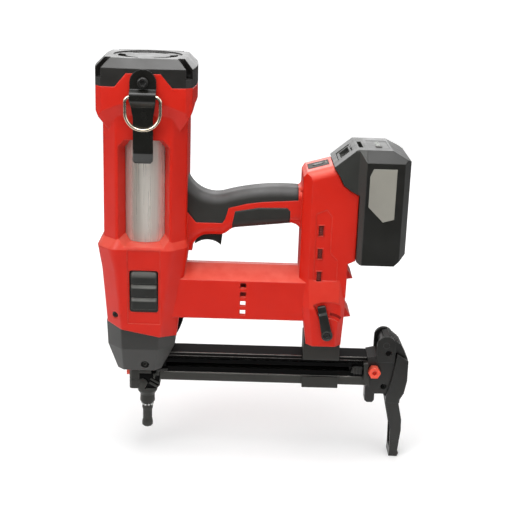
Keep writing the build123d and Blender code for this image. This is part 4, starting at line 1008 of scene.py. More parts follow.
@dataclass
class Fasteners(Assembly):
    """Screws of the cap, the housing, the hanger, the nose and the lever."""

    finishes: dict[str, str] = field(default_factory=dict)
    heads: dict[str, Head] = field(default_factory=lambda: {
        "cap_screws": Head("frame", UP, height=2.4 * MM, slot="steel", finish="plain_steel"),
        "housing_screws": Head("frame", FAR, height=2.4 * MM, slot="dark_steel", finish="black_steel"),
        "hanger_screw": Head("frame", NEAR, height=2.8 * MM, slot="dark_steel", finish="lever_black"),
        "lever_screw": Head("selector", NEAR, height=1.5 * MM, slot="dark_steel", finish="lever_black"),
        "nose_screws": Head("frame", FAR, height=2.4 * MM, slot="dark_steel", finish="black_steel",
                            both_sides=True),
    })

    def detail(self, palette: Palette) -> None:
        """Put a star screw in the place of each plain CAD screw.

        Args:
            palette: Finishes to take from.
        """
        for node, head in self.heads.items():
            form = Form()
            for low, high in solids_of(node):
                turned_round = head.both_sides and low.y < 0
                StarScrew(head.height).build(form, low, high, -head.axis if turned_round else head.axis)
            piece = form.finish(f"{node}_star")
            self.add(piece, head.body, head.slot, head.finish, palette)
            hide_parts(node)


@dataclass(frozen=True)
class Web:
    """A fillet between the handle and the rear housing's wall.

    Its foot stands on the handle, at one level in the middle and at another by the edges. It reaches along
    the handle, and rises or drops along the wall.
    """

    middle: float
    edge: float
    reach: float
    rise: float


@dataclass
class Shell(Assembly):
    """Red housing, top cap, rubber skins and hanger.

    The rings of a pad's rib lie at shares of the rib's height, with a groove at its foot and a crown at its
    top. The slots are in the rear housing, the well is at the bulge's lower corner, the webs are the handle's
    fillets and the vents are in the bridge.
    """

    finishes: dict[str, str] = field(default_factory=lambda: {
        "housing_left": "red_shell", "housing_right": "red_shell", "top_cap": "black_cap",
        "hanger_strap": "strap_black", "d_ring": "pale_ring", "grip_upper": "grip_rubber",
        "grip_lower": "grip_rubber", "side_pad_left": "pad_rubber", "side_pad_right": "pad_rubber",
    })
    pad_gap: float = 0.7 * MM
    pad_foot: float = 1.4 * MM
    pad_lap: float = 1.2 * MM
    pad_foot_soft: float = 0.2 * MM
    pad_corner: float = 2.5 * MM
    pad_round: float = 1.8 * MM
    pad_fall: float = 0.7
    pad_lean: float = 4.8 / 74.0
    pad_steps: int = 12
    pad_smooth_deg: float = 40.0
    ribs: int = 3
    rib_rings: tuple[float, ...] = (0.0, 0.04, 0.08, 0.10, 0.12, 0.14, 0.25, 0.40, 0.55, 0.66, 0.72, 0.76,
                                    0.80, 0.85, 0.90, 0.95, 0.995)
    rib_groove: float = 2.8 * MM
    groove_stop: float = 0.14
    groove_slope: float = 0.06
    rib_crown: float = 2.4 * MM
    crown_start: float = 0.72
    top_crown_start: float = 0.50
    crown_power: float = 1.5
    slot_x: float = 161.4 * MM
    slot_zs: tuple[float, ...] = (214.0 * MM, 192.0 * MM, 170.0 * MM)
    slot_size: Flat = (4.2 * MM, 9.6 * MM)
    slot_floor: float = -27.4 * MM
    slot_plate: float = 0.25 * MM
    slot_play: float = 0.1 * MM
    louvres: int = 4
    louvre_pitch: float = 2.2 * MM
    louvre_play: float = 0.2 * MM
    louvre_blade_mm: Outline = ((-0.8, 0.2), (0.8, 0.2), (-0.5, 0.8))
    panel_floor: float = -28.4 * MM
    slot_rim: float = 0.9 * MM
    slot_rim_sink: float = 0.2 * MM
    slot_rim_high: float = 0.75 * MM
    well: Point = (-27.5 * MM, -28.6 * MM, 127.5 * MM)
    well_screw: Flat = (2.7 * MM, 2.2 * MM)
    web_wall: float = 143.5 * MM
    web_half: float = 13.2 * MM
    web_sink: float = 0.5 * MM
    web_steps: int = 8
    web_taper: float = 0.75
    web_flat: float = 0.6
    web_smooth_deg: float = 50.0
    webs: tuple[Web, ...] = (
        Web(middle=215.6 * MM, edge=218.4 * MM, reach=12.0 * MM, rise=-9.0 * MM),
        Web(middle=249.1 * MM, edge=246.4 * MM, reach=3.6 * MM, rise=8.0 * MM),
    )
    vent_place: Flat = (91.5 * MM, -26.6 * MM)
    vent_zs: tuple[float, ...] = (132.0 * MM, 140.8 * MM, 149.6 * MM, 158.4 * MM)
    vent_half: float = 2.9 * MM
    slat_lean: float = 0.5
    slat_tall: float = 1.45 * MM
    slat_half: float = 0.4 * MM
    slat_soft: float = 0.2 * MM

    def detail(self, palette: Palette) -> None:
        """Add the ribbed pads, the slots' louvres and rims, the well's screw, the webs and the vents' slats.

        Args:
            palette: Finishes to take from.
        """
        for node in ("side_pad_left", "side_pad_right"):
            piece = self._pad(node)
            self.add(piece, "frame", "rubber", "pad_rubber", palette)
            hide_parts(node)
        self.add(self._louvres(), "frame", "red", "slot_shade_red", palette)
        self.add(self._slot_rims(), "frame", "red", "red_shell", palette)
        self.add(self._well_screw(), "frame", "dark_steel", "black_steel", palette)
        self.add(self._webs(), "frame", "red", "red_shell", palette)
        self.add(self._slats(), "frame", "red", "red_shell", palette)

    def _pad(self, node: str) -> bpy.types.Object:
        """Build one rubber pad with crowned ribs in the place of its CAD node.

        Args:
            node: Name of the CAD node.

        Returns:
            The pad.
        """
        low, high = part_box(node)
        side = 1.0 if low.y > 0 else -1.0
        floor = min(abs(low.y), abs(high.y))
        face = max(abs(low.y), abs(high.y))
        form = Form()
        self._flange(form, low, high, side * floor)
        gap = Vector((self.pad_gap, 0.0, self.pad_gap))
        low, high = low + gap, high - gap
        rib = (high.z - low.z) / self.ribs
        foot = side * (floor + self.pad_foot / 2)
        rings = []
        for step in range(self.ribs):
            for share in self.rib_rings:
                z = low.z + (step + share) * rib
                corner = max(0.0, self.pad_corner - min(z - low.z, high.z - z))
                half = high.x - self.pad_corner + math.sqrt(self.pad_corner ** 2 - corner ** 2)
                top = face - (high.z - z) * self.pad_lean - self._rib_depth(share, step == self.ribs - 1)
                ring = [Vector((x, side * level, z)) for x, level in self._crest(half, top)]
                rings.append([*ring, Vector((half, foot, z)), Vector((-half, foot, z))])
        form.skin(rings)
        return form.finish(f"{node}_ribs", self.pad_smooth_deg)

    def _flange(self, form: Form, low: Vector, high: Vector, floor_y: float) -> None:
        """Add the thin foot that reaches under the housing all round a pad.

        Args:
            form: Mesh of the pad.
            low: Lowest corner of the pad's CAD node.
            high: Highest corner of the pad's CAD node.
            floor_y: Place of the pad's back.
        """
        out = Vector((0.0, math.copysign(1.0, floor_y), 0.0))
        middle = (low + high) / 2
        seat = Seat(Vector((middle.x, floor_y, middle.z)), UP.cross(out), UP, out)
        wide = (high.x - low.x) / 2 + self.pad_lap
        tall = (high.z - low.z) / 2 + self.pad_lap
        nip = self.pad_corner
        outline = [(nip - wide, -tall), (wide - nip, -tall), (wide, nip - tall), (wide, tall - nip),
                   (wide - nip, tall), (nip - wide, tall), (-wide, tall - nip), (-wide, nip - tall)]
        form.slab(seat, outline, 0.0, self.pad_foot, self.pad_foot_soft)

    def _crest(self, half: float, top: float) -> list[Flat]:
        """Work out a pad's face along one ring, from edge to edge.

        Args:
            half: Half the pad's width at the ring.
            top: Level of the face there.

        Returns:
            Place across the pad and level of each point.
        """
        points = []
        for place in range(-self.pad_steps, self.pad_steps + 1):
            x = half * place / self.pad_steps
            edge = max(0.0, (abs(x) - half + self.pad_round) / self.pad_round)
            points.append((x, top - edge ** 2 * self.pad_round * self.pad_fall))
        return points

    def _rib_depth(self, share: float, topmost: bool) -> float:
        """How far the pad's face lies back at a share of a rib's height.

        Args:
            share: 0 at the rib's foot and 1 at its top.
            topmost: Whether it is the top rib, whose crown reaches further down.

        Returns:
            Depth below the face.
        """
        if share < self.groove_stop:
            return self.rib_groove * min(1.0, (self.groove_stop - share) / self.groove_slope)
        start = self.top_crown_start if topmost else self.crown_start
        crown = max(0.0, (share - start) / (1.0 - start))
        return self.rib_crown * crown ** self.crown_power

    def _slot(self, ease: float) -> list[Flat]:
        """Outline of a slot in the rear housing.

        Args:
            ease: Width by which the outline is larger.

        Returns:
            Its corners, anticlockwise.
        """
        wide = self.slot_size[0] / 2 + ease
        tall = self.slot_size[1] / 2 + ease
        return rectangle(-wide, wide, -tall, tall)

    def _louvres(self) -> bpy.types.Object:
        """Build the louvres and their back plate in the rear housing's slots, in a dark red that paints the
        slots' shade.

        Returns:
            The louvres.
        """
        form = Form()
        half = self.slot_size[0] / 2 - self.louvre_play
        blade = metres(self.louvre_blade_mm)
        for z in self.slot_zs:
            seat = near_seat(self.slot_x, self.slot_floor, z)
            # The plate and the blades are in painted shade red, standing in for the shade inside the slot.
            form.slab(seat, self._slot(-self.slot_play), 0.0, self.slot_plate, self.slot_play)
            for step in range(self.louvres):
                middle = (step - (self.louvres - 1) / 2) * self.louvre_pitch
                form.skin([[seat.at(u, middle + v, level) for v, level in blade] for u in (-half, half)])
        return form.finish("slot_louvres")

    def _slot_rims(self) -> bpy.types.Object:
        """Build the raised rims of the rear housing's slots.

        Returns:
            The rims.
        """
        form = Form()
        for z in self.slot_zs:
            seat = near_seat(self.slot_x, self.panel_floor, z)
            form.rim(seat, self._slot(self.slot_rim), self.slot_rim, -self.slot_rim_sink, self.slot_rim_high)
        return form.finish("slot_rims")

    def _well_screw(self) -> bpy.types.Object:
        """Build the screw in the well at the bulge's lower corner.

        Returns:
            The screw.
        """
        form = Form()
        radius, height = self.well_screw
        seat = Vector(self.well)
        reach = Vector((radius, 0.0, radius))
        StarScrew(height).build(form, seat - reach + NEAR * height, seat + reach, NEAR)
        return form.finish("well_screw_star")

    def _webs(self) -> bpy.types.Object:
        """Build the fillets where the handle runs into the rear housing.

        Returns:
            The two fillets as one piece.
        """
        form = Form()
        for web in self.webs:
            form.skin([self._web_ring(web, step / self.web_steps)
                       for step in range(-self.web_steps, self.web_steps + 1)])
        return form.finish("handle_webs", self.web_smooth_deg)

    def _web_ring(self, web: Web, place: float) -> list[Vector]:
        """Work out one section of a fillet.

        Args:
            web: The fillet.
            place: Where the section lies, from -1 at the near edge to 1 at the far one.

        Returns:
            Points of the section, sunk into the handle and the wall.
        """
        share = abs(place)
        full = math.sqrt(1.0 - self.web_taper * share ** 4)
        round_off = max(0.0, share - self.web_flat) / (1.0 - self.web_flat)
        foot = web.middle + (web.edge - web.middle) * round_off ** 2
        inward = -math.copysign(self.web_sink, web.rise)
        y = self.web_half * place
        ring = [Vector((self.web_wall + self.web_sink, y, foot + inward))]
        for step in range(self.web_steps + 1):
            angle = math.pi / 2 * step / self.web_steps
            x = self.web_wall - web.reach * full * (1.0 - math.sin(angle))
            ring.append(Vector((x, y, foot + web.rise * full * (1.0 - math.cos(angle)))))
        ring[1].z += inward
        ring[-1].x += self.web_sink
        return ring

    def _slats(self) -> bpy.types.Object:
        """Build a slanted slat in the lower part of each vent in the bridge.

        Returns:
            The slats as one piece.
        """
        form = Form()
        x, y = self.vent_place
        lean = (UP + FAR * self.slat_lean).normalized()
        outline = rectangle(-self.vent_half, self.vent_half, 0.0, self.slat_tall)
        for z in self.vent_zs:
            seat = Seat(Vector((x, y, z - self.vent_half)), BACK, lean, BACK.cross(lean))
            form.slab(seat, outline, -self.slat_half, self.slat_half, self.slat_soft)
        return form.finish("vent_slats")


@dataclass
class Drive(Assembly):
    """Cylinder, driver, lifter, motor and electrics."""

    finishes: dict[str, str] = field(default_factory=lambda: {
        "air_cylinder": "satin_tube", "cylinder_head": "cast_grey", "fill_valve": "plain_steel",
        "cylinder_base": "cast_grey", "bump_stop": "pad_rubber", "piston": "cast_grey",
        "piston_seal": "pad_rubber", "driver_blade": "plain_steel", "lifter_wheel": "plain_steel",
        "lifter_pins": "plain_steel", "lifter_shaft": "plain_steel", "lifter_bearings": "plain_steel",
        "gearbox": "cast_grey", "motor_can": "plain_steel", "motor_rotor": "plain_steel",
        "cooling_fan": "lever_black", "control_board": "board_green", "trigger_switch": "lever_black",
        "trigger_pin": "plain_steel",
    })


@dataclass
class Controls(Assembly):
    """Trigger, panel, power button and selector lever.

    The boss is given by radius and level, and the arm by places along it with half its width and the drop of
    its face there.
    """

    finishes: dict[str, str] = field(default_factory=lambda: {
        "trigger": "lever_black", "control_panel": "panel_grey", "power_button": "lever_black",
        "selector_lever": "lever_black",
    })
    lever_pivot: Point = (171.0 * MM, -35.4 * MM, 115.0 * MM)
    lever_lean_deg: float = 13.0
    lever_thick: float = 3.4 * MM
    lever_soft: float = 0.8 * MM
    boss_mm: Outline = ((0.3, -8.3), (2.6, -8.3), (3.0, -7.9), (3.0, 0.0), (5.0, 0.0), (5.4, 0.3), (5.4, 2.6),
                        (5.0, 3.2), (4.6, 3.4), (3.9, 3.4), (3.6, 3.1), (3.3, 3.1), (2.9, 2.9), (2.9, 1.8),
                        (0.3, 1.8))
    boss_steps: int = 40
    arm_mm: tuple[Point, ...] = ((3.4, 4.9, 0.0), (12.0, 4.5, 0.0), (20.2, 4.15, 0.0), (20.8, 4.1, 0.15),
                                 (22.4, 4.05, 1.5), (23.0, 4.0, 1.6), (27.6, 3.9, 1.7), (28.5, 3.6, 1.9),
                                 (29.0, 2.9, 2.3))
    thumb_from: float = 22.0 * MM
    thumb_foot: float = -2.2 * MM
    boss_ring_radius: float = 4.6 * MM
    boss_ring_wide: float = 1.0 * MM
    boss_ring_levels: Flat = (-0.3 * MM, 0.35 * MM)
    boss_ring_stop_deg: float = 350.0
    boss_ring_points: int = 36
    sweep_y: float = -32.8 * MM
    sweep_radii: Flat = (18.9 * MM, 21.5 * MM)
    sweep_degs: Flat = (52.0, 84.0)
    sweep_points: int = 14
    sweep_levels: Flat = (-0.2 * MM, 0.25 * MM)
    sweep_soft: float = 0.12 * MM
    button_ring: Flat = (11.4 * MM, 7.4 * MM)
    button_ring_wide: float = 0.9 * MM
    button_ring_levels: Flat = (-0.2 * MM, 0.5 * MM)
    lamp_radius: float = 0.75 * MM
    lamp_row: float = 7.4 * MM
    lamp_pitch: float = 3.6 * MM
    lens_rings: Outline = ((1.0, -0.2 * MM), (1.0, 0.12 * MM), (0.8, 0.3 * MM), (0.4, 0.4 * MM),
                           (0.1, 0.42 * MM))
    lens_steps: int = 16

    def detail(self, palette: Palette) -> None:
        """Add the stepped lever with its ring, a band of painted shadow, the power button's ring and the
        panel's lamps.

        Args:
            palette: Finishes to take from.
        """
        lever = self._lever()
        self.add(lever, "selector", "dark_plastic", "lever_black", palette)
        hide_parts("selector_lever")
        self.add(self._boss_ring(), "selector", "dark_steel", "black_steel", palette)
        self.add(self._sweep_shadow(), "frame", "red", "shadow_red", palette)
        panel = slope_seat("control_panel")
        self.add(self._button_ring(panel), "frame", "dark_plastic", "lever_black", palette)
        self.add(self._panel_lamps(panel), "frame", "lamp", "lamp_lens", palette)

    def _lever(self) -> bpy.types.Object:
        """Build the selector lever: a turned boss on its shaft and a tapered arm with a step near its end.

        Returns:
            The lever.
        """
        lean = math.radians(self.lever_lean_deg)
        reach = Vector((-math.sin(lean), 0.0, math.cos(lean)))
        seat = Seat(Vector(self.lever_pivot), FAR.cross(reach), reach, NEAR)
        form = Form()
        form.turned(seat, metres(self.boss_mm), self.boss_steps)
        soft = self.lever_soft
        shoulder = soft * ROUND_SHARE
        rings = []
        for station in self.arm_mm:
            place, half, drop = (value * MM for value in station)
            foot = self.thumb_foot if place > self.thumb_from else 0.0
            level = self.lever_thick - drop
            section = [(-half, foot), (half, foot), (half, level - soft), (half - shoulder, level - shoulder),
                       (half - soft, level), (soft - half, level), (shoulder - half, level - shoulder),
                       (-half, level - soft)]
            rings.append([seat.at(u, place, w) for u, w in section])
        form.skin(rings)
        return form.finish("selector_arm")

    def _boss_ring(self) -> bpy.types.Object:
        """Build the ring on the face of the lever's boss.

        Returns:
            The ring.
        """
        form = Form()
        x, y, z = self.lever_pivot
        circle = arc(self.boss_ring_radius, 0.0, self.boss_ring_stop_deg, self.boss_ring_points)
        form.rim(near_seat(x, y - self.lever_thick, z), circle, self.boss_ring_wide, *self.boss_ring_levels)
        return form.finish("lever_ring")

    def _sweep_shadow(self) -> bpy.types.Object:
        """Build the dark band on the housing under the lever's sweep, a painted shadow in the recess there.

        Returns:
            The band.
        """
        form = Form()
        x, _, z = self.lever_pivot
        inner, outer = self.sweep_radii
        start, stop = self.sweep_degs
        band = arc(outer, start, stop, self.sweep_points) + arc(inner, stop, start, self.sweep_points)
        form.slab(near_seat(x, self.sweep_y, z), band, *self.sweep_levels, self.sweep_soft)
        return form.finish("sweep_shadow")

    def _button_ring(self, panel: Seat) -> bpy.types.Object:
        """Build the ring round the power button.

        Args:
            panel: Face of the control panel.

        Returns:
            The ring.
        """
        form = Form()
        form.rim(panel, oval(*self.button_ring), self.button_ring_wide, *self.button_ring_levels)
        return form.finish("button_ring")

    def _panel_lamps(self, panel: Seat) -> bpy.types.Object:
        """Build the row of small lamps beside the power button.

        Args:
            panel: Face of the control panel.

        Returns:
            The lamps' lenses as one piece.
        """
        form = Form()
        profile = [(self.lamp_radius * share, level) for share, level in self.lens_rings]
        for step in (-1, 0, 1):
            place = panel.at(self.lamp_row, step * self.lamp_pitch, 0.0)
            form.turned(Seat(place, panel.along, panel.across, panel.out), profile, self.lens_steps)
        return form.finish("panel_lamps")


@dataclass
class Nose(Assembly):
    """Nose housing, nose block and contact tip.

    Outlines hold X and Z of their corners, anticlockwise. Levels are those of a plate's foot and of its face.
    """

    finishes: dict[str, str] = field(default_factory=lambda: {
        "nose_housing": "nose_grey", "nose_block": "black_steel", "nose_front_plate": "black_steel",
        "jam_release": "red_button", "nose_collar": "black_steel", "nose_tip": "black_steel",
        "detent_balls": "plain_steel",
    })
    side_y: float = -11.0 * MM
    shade_plate_mm: Outline = ((-7.0, 43.6), (8.3, 43.6), (12.6, 48.2), (12.6, 66.0), (-7.0, 66.0))
    shade_plate_levels: Flat = (-0.6 * MM, 0.3 * MM)
    shade_plate_soft: float = 0.2 * MM
    cam_mm: Outline = ((-7.0, 43.8), (-2.2, 43.8), (-0.6, 46.6), (1.2, 50.6), (0.6, 52.6), (-1.0, 54.2),
                       (-3.4, 55.2), (-5.4, 55.0), (-7.0, 54.0))
    sill_mm: Outline = ((-0.6, 43.8), (8.0, 43.8), (9.2, 45.2), (0.4, 45.2))
    lower_bar_mm: Outline = ((2.2, 50.4), (9.8, 45.9), (11.6, 47.7), (3.4, 52.4))
    upper_bar_mm: Outline = ((3.4, 54.4), (12.4, 49.2), (12.4, 51.4), (4.6, 56.0))
    post_mm: Outline = ((6.6, 55.9), (8.2, 55.0), (8.8, 58.8), (12.4, 58.8), (12.4, 66.0), (9.8, 66.0),
                        (9.2, 61.2), (6.6, 60.6))
    lid_mm: Outline = ((-7.0, 60.6), (4.6, 60.6), (4.6, 66.0), (-7.0, 66.0))
    gate_levels: Flat = (0.1 * MM, 1.7 * MM)
    gate_soft: float = 0.4 * MM
    latch_mm: Outline = ((10.6, 63.2), (12.6, 63.2), (13.6, 64.6), (19.8, 64.6), (20.6, 65.4), (20.6, 67.0),
                         (12.4, 67.0), (10.6, 65.8))
    latch_levels: Flat = (0.2 * MM, 3.0 * MM)
    latch_soft: float = 0.6 * MM
    back_plate_mm: Outline = ((25.8, 97.5), (27.0, 97.5), (29.7, 101.6), (31.5, 105.8), (33.2, 110.4),
                        (34.6, 115.0), (37.0, 122.0), (29.5, 122.0))
    back_plate_half: float = 3.0 * MM
    back_plate_soft: float = 0.4 * MM

    def detail(self, palette: Palette) -> None:
        """Add the near side's gate, a near-black plate of painted shade behind cut plates with a latch, and a
        near-black plate behind the nose.

        Args:
            palette: Finishes to take from.
        """
        gate = [self.cam_mm, self.sill_mm, self.lower_bar_mm, self.upper_bar_mm, self.post_mm, self.lid_mm]
        back_plate_levels = (-self.back_plate_half, self.back_plate_half)
        # The near-black plate behind the gate paints the shade in the recess there.
        shade_plate = self._plates("gate_shade_plate", self.side_y, [self.shade_plate_mm], self.shade_plate_levels, self.shade_plate_soft)
        plates = self._plates("gate_plates", self.side_y, gate, self.gate_levels, self.gate_soft)
        latch = self._plates("gate_latch", self.side_y, [self.latch_mm], self.latch_levels, self.latch_soft)
        # A near-black plate behind the nose's edge.
        back_plate = self._plates("nose_back_plate", 0.0, [self.back_plate_mm], back_plate_levels, self.back_plate_soft)
        self.add(shade_plate, "frame", "dark_plastic", "gloss_liner", palette)
        self.add(plates, "frame", "dark_steel", "black_steel", palette)
        self.add(latch, "frame", "dark_plastic", "lever_black", palette)
        self.add(back_plate, "frame", "dark_plastic", "gloss_liner", palette)

    def _plates(self, name: str, y: float, outlines: list[Outline], levels: Flat, soft: float
                ) -> bpy.types.Object:
        """Build a set of plates that face the near side.

        Args:
            name: Name of the piece.
            y: Place of the plane that the levels start from.
            outlines: Corners of each plate in millimetres, anticlockwise.
            levels: Levels of the plates' feet and of their faces.
            soft: Width of their softened rims.

        Returns:
            The plates, as one piece.
        """
        form = Form()
        for outline in outlines:
            form.slab(near_seat(0.0, y, 0.0), metres(outline), *levels, soft)
        return form.finish(name)


@dataclass
class Magazine(Assembly):
    """Magazine rails, pusher, bracket, end block and support leg.

    Runs are the stretches of X in which the rails' edges show, and beads the Y, Z and radius of each edge.
    The thumb pad's ribs start at an X and a Z, and their pitch is a step in both.
    """

    finishes: dict[str, str] = field(default_factory=lambda: {
        "magazine_upper_rail": "rail_black", "magazine_lower_rail": "rail_grey",
        "magazine_liner": "gloss_liner", "pusher": "lever_black", "rear_bracket": "bracket_black",
        "end_block": "leg_black", "magazine_release": "red_button", "ear_pin": "leg_black",
        "support_leg": "leg_black",
    })
    runs: tuple[Flat, ...] = ((13.6 * MM, 150.4 * MM), (186.6 * MM, 213.2 * MM))
    beads: tuple[Point, ...] = ((11.12 * MM, 83.40 * MM, 0.42 * MM), (11.30 * MM, 80.25 * MM, 0.26 * MM),
                                (11.06 * MM, 62.95 * MM, 0.32 * MM))
    thumb_ribs: int = 5
    thumb_start: Flat = (234.6 * MM, 105.9 * MM)
    thumb_pitch: Flat = (2.0 * MM, -1.55 * MM)
    thumb_half: float = 10.4 * MM
    thumb_radius: float = 0.85 * MM
    ridges: int = 3
    ridge_start: float = 3.6 * MM
    ridge_pitch: float = 2.6 * MM
    ridge_wide: float = 1.3 * MM
    ridge_half: float = 3.2 * MM
    ridge_levels: Flat = (-0.3 * MM, 0.8 * MM)
    ridge_soft: float = 0.3 * MM
    guard_mm: Outline = ((210.0, 61.5), (216.6, 55.6), (216.6, 63.4), (214.2, 68.0), (214.2, 80.0),
                         (209.8, 79.4), (210.6, 70.0))
    guard_y: float = -11.4 * MM
    guard_high: float = 7.0 * MM
    guard_soft: float = 0.5 * MM

    def detail(self, palette: Palette) -> None:
        """Add the rails' bright edges, the thumb pad's ribs, the pusher's ridges and the release's guard.

        Args:
            palette: Finishes to take from.
        """
        self.add(self._rail_edges(), "frame", "rail", "bright_edge", palette)
        self.add(self._thumb_ribs(), "leg", "dark_plastic", "leg_black", palette)
        self.add(self._ridges(), "pusher", "dark_plastic", "bracket_black", palette)
        self.add(self._guard(), "frame", "dark_plastic", "bracket_black", palette)

    def _rail_edges(self) -> bpy.types.Object:
        """Build the bright edges along both sides of the rails.

        Returns:
            The edges as one piece.
        """
        form = Form()
        for start, stop in self.runs:
            for y, z, radius in self.beads:
                for side in (-1, 1):
                    form.rod(Vector((start, side * y, z)), Vector((stop, side * y, z)), radius)
        return form.finish("rail_edges")

    def _thumb_ribs(self) -> bpy.types.Object:
        """Build the ribs across the leg's thumb pad.

        Returns:
            The ribs as one piece.
        """
        form = Form()
        for step in range(self.thumb_ribs):
            x = self.thumb_start[0] + step * self.thumb_pitch[0]
            z = self.thumb_start[1] + step * self.thumb_pitch[1]
            form.rod(Vector((x, -self.thumb_half, z)), Vector((x, self.thumb_half, z)), self.thumb_radius)
        return form.finish("thumb_ribs")

    def _ridges(self) -> bpy.types.Object:
        """Build the finger ridges on the near side of the pusher.

        Returns:
            The ridges as one piece.
        """
        form = Form()
        low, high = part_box("pusher")
        seat = near_seat(low.x, low.y, (low.z + high.z) / 2)
        for step in range(self.ridges):
            start = self.ridge_start + step * self.ridge_pitch
            outline = rectangle(start, start + self.ridge_wide, -self.ridge_half, self.ridge_half)
            form.slab(seat, outline, *self.ridge_levels, self.ridge_soft)
        return form.finish("pusher_ridges")

    def _guard(self) -> bpy.types.Object:
        """Build the guard before the magazine release.

        Returns:
            The guard.
        """
        form = Form()
        seat = near_seat(0.0, self.guard_y, 0.0)
        form.slab(seat, metres(self.guard_mm), 0.0, self.guard_high, self.guard_soft)
        return form.finish("release_guard")


@dataclass
class Battery(Assembly):
    """Battery pack with its latch and gauge."""

    finishes: dict[str, str] = field(default_factory=lambda: {
        "pack_front_case": "pack_grey", "pack_cell_case": "pack_black", "pack_latch": "pack_grey",
        "gauge_panel": "pack_grey", "gauge_lamps": "lamp_lens", "gauge_button": "panel_grey",
        "pack_label": "plate_film",
    })
    latch_ribs: int = 4
    latch_pitch: float = 2.6 * MM
    latch_half: float = 10.5 * MM
    latch_radius: float = 0.6 * MM
    latch_lift: float = 0.05 * MM

    def detail(self, palette: Palette) -> None:
        """Add the ribs on the latch.

        Args:
            palette: Finishes to take from.
        """
        seat = slope_seat("pack_latch")
        form = Form()
        for step in range(self.latch_ribs):
            u = (step - (self.latch_ribs - 1) / 2) * self.latch_pitch
            start, end = (seat.at(u, side * self.latch_half, self.latch_lift) for side in (-1, 1))
            form.rod(start, end, self.latch_radius)
        self.add(form.finish("latch_ribs"), "pack_latch", "dark_plastic", "pack_black", palette)


@dataclass(frozen=True)
class Lamp:
    """A soft studio panel that looks at the tool, with its power in watts."""

    name: str
    place: Point
    size: float
    power: float


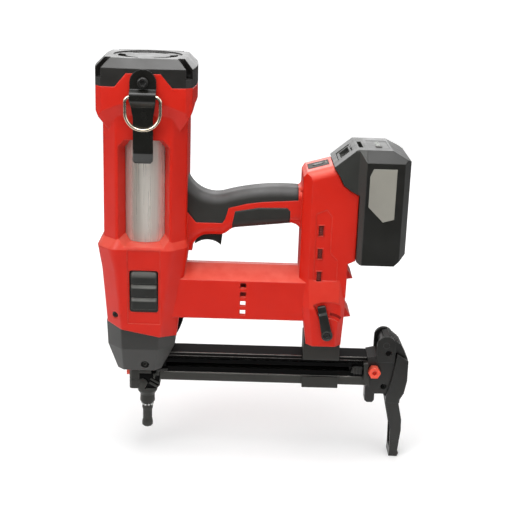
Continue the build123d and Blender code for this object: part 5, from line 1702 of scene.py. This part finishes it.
@dataclass
class Studio:
    """Floor, light and camera.

    The floor's glow, as the camera sees it, goes from its first value near the tool to its last far away,
    over the distances of the grade. Mirrored in the tool, the floor fades to its dark tint over the distances
    of the fade, and the world dims to front_gloss on the camera's side, over the ranges of a ray's Y and Z.
    """

    floor_z: float = -22.5 * MM
    floor_reach: float = 30.0
    floor_tints: tuple[Colour, Colour] = ((0.86, 0.86, 0.86), (0.88, 0.88, 0.88))
    floor_dark: Colour = (0.16, 0.16, 0.16)
    floor_roughness: float = 0.9
    floor_noise: float = 3.0
    floor_glow: Flat = (0.20, 0.90)
    floor_grade: Flat = (0.30, 2.40)
    floor_fade: Flat = (0.10, 0.38)
    sky_light: float = 0.26
    front_gloss: float = 0.10
    front_range: Flat = (-0.35, -0.85)
    front_height: Flat = (0.00, 0.25)
    aim: Point = (0.10, 0.0, 0.17)
    lamps: tuple[Lamp, ...] = (
        Lamp("key_panel", (-0.75, -0.95, 0.85), size=0.7, power=6.0),
        Lamp("front_panel", (0.05, -0.95, 1.25), size=0.8, power=3.0),
        Lamp("top_panel", (0.08, -0.15, 1.40), size=1.0, power=15.0),
        Lamp("fill_panel", (1.15, -0.75, 0.6), size=0.9, power=2.0),
        Lamp("back_panel", (0.1, 1.2, 0.8), size=1.0, power=4.0),
    )
    camera_place: Point = (0.0918, -0.9539, 0.4720)
    pitch_deg: float = 17.0
    turn_deg: float = 0.6
    roll_deg: float = 1.86
    focal_points: float = 1050.0
    picture_points: float = 510.0
    sensor_mm: float = 36.0
    sight: float = 60.0

    def build(self) -> None:
        """Set the floor, the lamps, the world and the camera."""
        self._floor()
        self._world()
        for lamp in self.lamps:
            self._panel(lamp)
        self._camera()
        bpy.context.scene.view_settings.view_transform = "Standard"

    def _floor(self) -> None:
        """Lay a pale floor that keeps the tool's shadow."""
        mesh = bpy.data.meshes.new("floor")
        reach = self.floor_reach
        corners = [(x, y, self.floor_z) for x, y in rectangle(-reach, reach, -reach, reach)]
        mesh.from_pydata(corners, [], [(0, 1, 2, 3)])
        mesh.materials.append(self._floor_finish())
        floor = bpy.data.objects.new("floor", mesh)
        bpy.context.scene.collection.objects.link(floor)

    def _floor_finish(self) -> bpy.types.Material:
        """Build the floor's material, which glows where the camera sees it and is darker in mirrored views.

        Returns:
            The finished material.
        """
        shader = Shader("pale_floor")
        path = shader.add("ShaderNodeLightPath").outputs
        gloss = path["Is Glossy Ray"]
        y = shader.axis(shader.place, "Y")
        off_middle = shader.math("MAXIMUM", y, shader.math("MULTIPLY", y, -1.0))
        away = shader.spread(off_middle, 0.0, 1.0, *self.floor_fade)
        tint = shader.blend(shader.noise(self.floor_noise), *self.floor_tints)
        tint = shader.blend(shader.math("MULTIPLY", gloss, away), tint, self.floor_dark)
        shader.drive("Base Color", tint)
        shader.set("Roughness", self.floor_roughness)
        shader.set("Specular IOR Level", 0.0)
        mirrored = shader.math("MULTIPLY", gloss, shader.spread(away, 1.0, 0.0, 0.0, 1.0))
        distance = shader.add("ShaderNodeVectorMath", operation="LENGTH")
        shader.link(shader.place, distance.inputs[0])
        glow = shader.spread(distance.outputs["Value"], *self.floor_glow, *self.floor_grade)
        seen = shader.math("MAXIMUM", path["Is Camera Ray"], path["Is Transmission Ray"])
        shown = shader.math("MAXIMUM", seen, mirrored)
        shader.set("Emission Color", WHITE)
        shader.drive("Emission Strength", shader.math("MULTIPLY", shown, glow))
        return shader.material

    def _world(self) -> None:
        """Surround the tool with white that lights it softly and mirrors dimmer on the camera's side."""
        world = bpy.data.worlds.new("studio")
        world.use_nodes = True
        graph = Graph(world.node_tree)
        path = graph.add("ShaderNodeLightPath").outputs
        gloss = path["Is Glossy Ray"]
        seen = graph.math("MAXIMUM", path["Is Camera Ray"], path["Is Transmission Ray"])
        ray = graph.add("ShaderNodeTexCoord").outputs["Generated"]
        front = graph.spread(graph.axis(ray, "Y"), 0.0, 1.0, *self.front_range)
        height = graph.spread(graph.axis(ray, "Z"), 1.0, 0.0, *self.front_height)
        dim = graph.math("MULTIPLY", front, height)
        mirrored = graph.math("MULTIPLY", gloss, graph.spread(dim, 1.0, self.front_gloss, 0.0, 1.0))
        shown = graph.math("MAXIMUM", seen, mirrored)
        other = graph.spread(graph.math("MAXIMUM", seen, gloss), self.sky_light, 0.0, 0.0, 1.0)
        sky = graph.add("ShaderNodeBackground")
        sky.inputs["Color"].default_value = WHITE
        graph.link(graph.math("ADD", shown, other), sky.inputs["Strength"])
        output = graph.add("ShaderNodeOutputWorld")
        graph.link(sky.outputs["Background"], output.inputs["Surface"])
        bpy.context.scene.world = world

    def _panel(self, lamp: Lamp) -> None:
        """Hang one soft panel.

        Args:
            lamp: The panel's place, size and power.
        """
        data = bpy.data.lights.new(lamp.name, "AREA")
        data.shape = "SQUARE"
        data.size = lamp.size
        data.energy = lamp.power
        panel = bpy.data.objects.new(lamp.name, data)
        panel.location = lamp.place
        panel.rotation_euler = (Vector(self.aim) - Vector(lamp.place)).to_track_quat("-Z", "Y").to_euler()
        bpy.context.scene.collection.objects.link(panel)

    def _camera(self) -> None:
        """Stand the camera where the photograph was taken from."""
        pitch = math.radians(self.pitch_deg)
        turn = math.radians(self.turn_deg)
        roll = math.radians(self.roll_deg)
        ahead = math.cos(pitch)
        forward = Vector((math.sin(turn) * ahead, math.cos(turn) * ahead, -math.sin(pitch)))
        level = Vector((math.cos(turn), -math.sin(turn), 0.0))
        upright = level.cross(forward)
        right = math.cos(roll) * level + math.sin(roll) * upright
        up = -math.sin(roll) * level + math.cos(roll) * upright
        turned = Matrix((right, up, -forward)).transposed().to_4x4()
        data = bpy.data.cameras.new("camera")
        data.sensor_width = self.sensor_mm
        data.lens = self.sensor_mm * self.focal_points / self.picture_points
        data.clip_end = self.sight
        camera = bpy.data.objects.new("camera", data)
        camera.matrix_world = Matrix.Translation(self.camera_place) @ turned
        bpy.context.scene.collection.objects.link(camera)
        bpy.context.scene.camera = camera


def main() -> None:
    """Dress every sub-assembly and set up the studio."""
    logging.basicConfig(level=logging.INFO)
    palette = Palette()
    for assembly in (Shell(), Drive(), Controls(), Nose(), Magazine(), Battery(), Fasteners()):
        assembly.dress(palette)
        assembly.detail(palette)
    Studio().build()


if __name__ == "__main__":
    main()
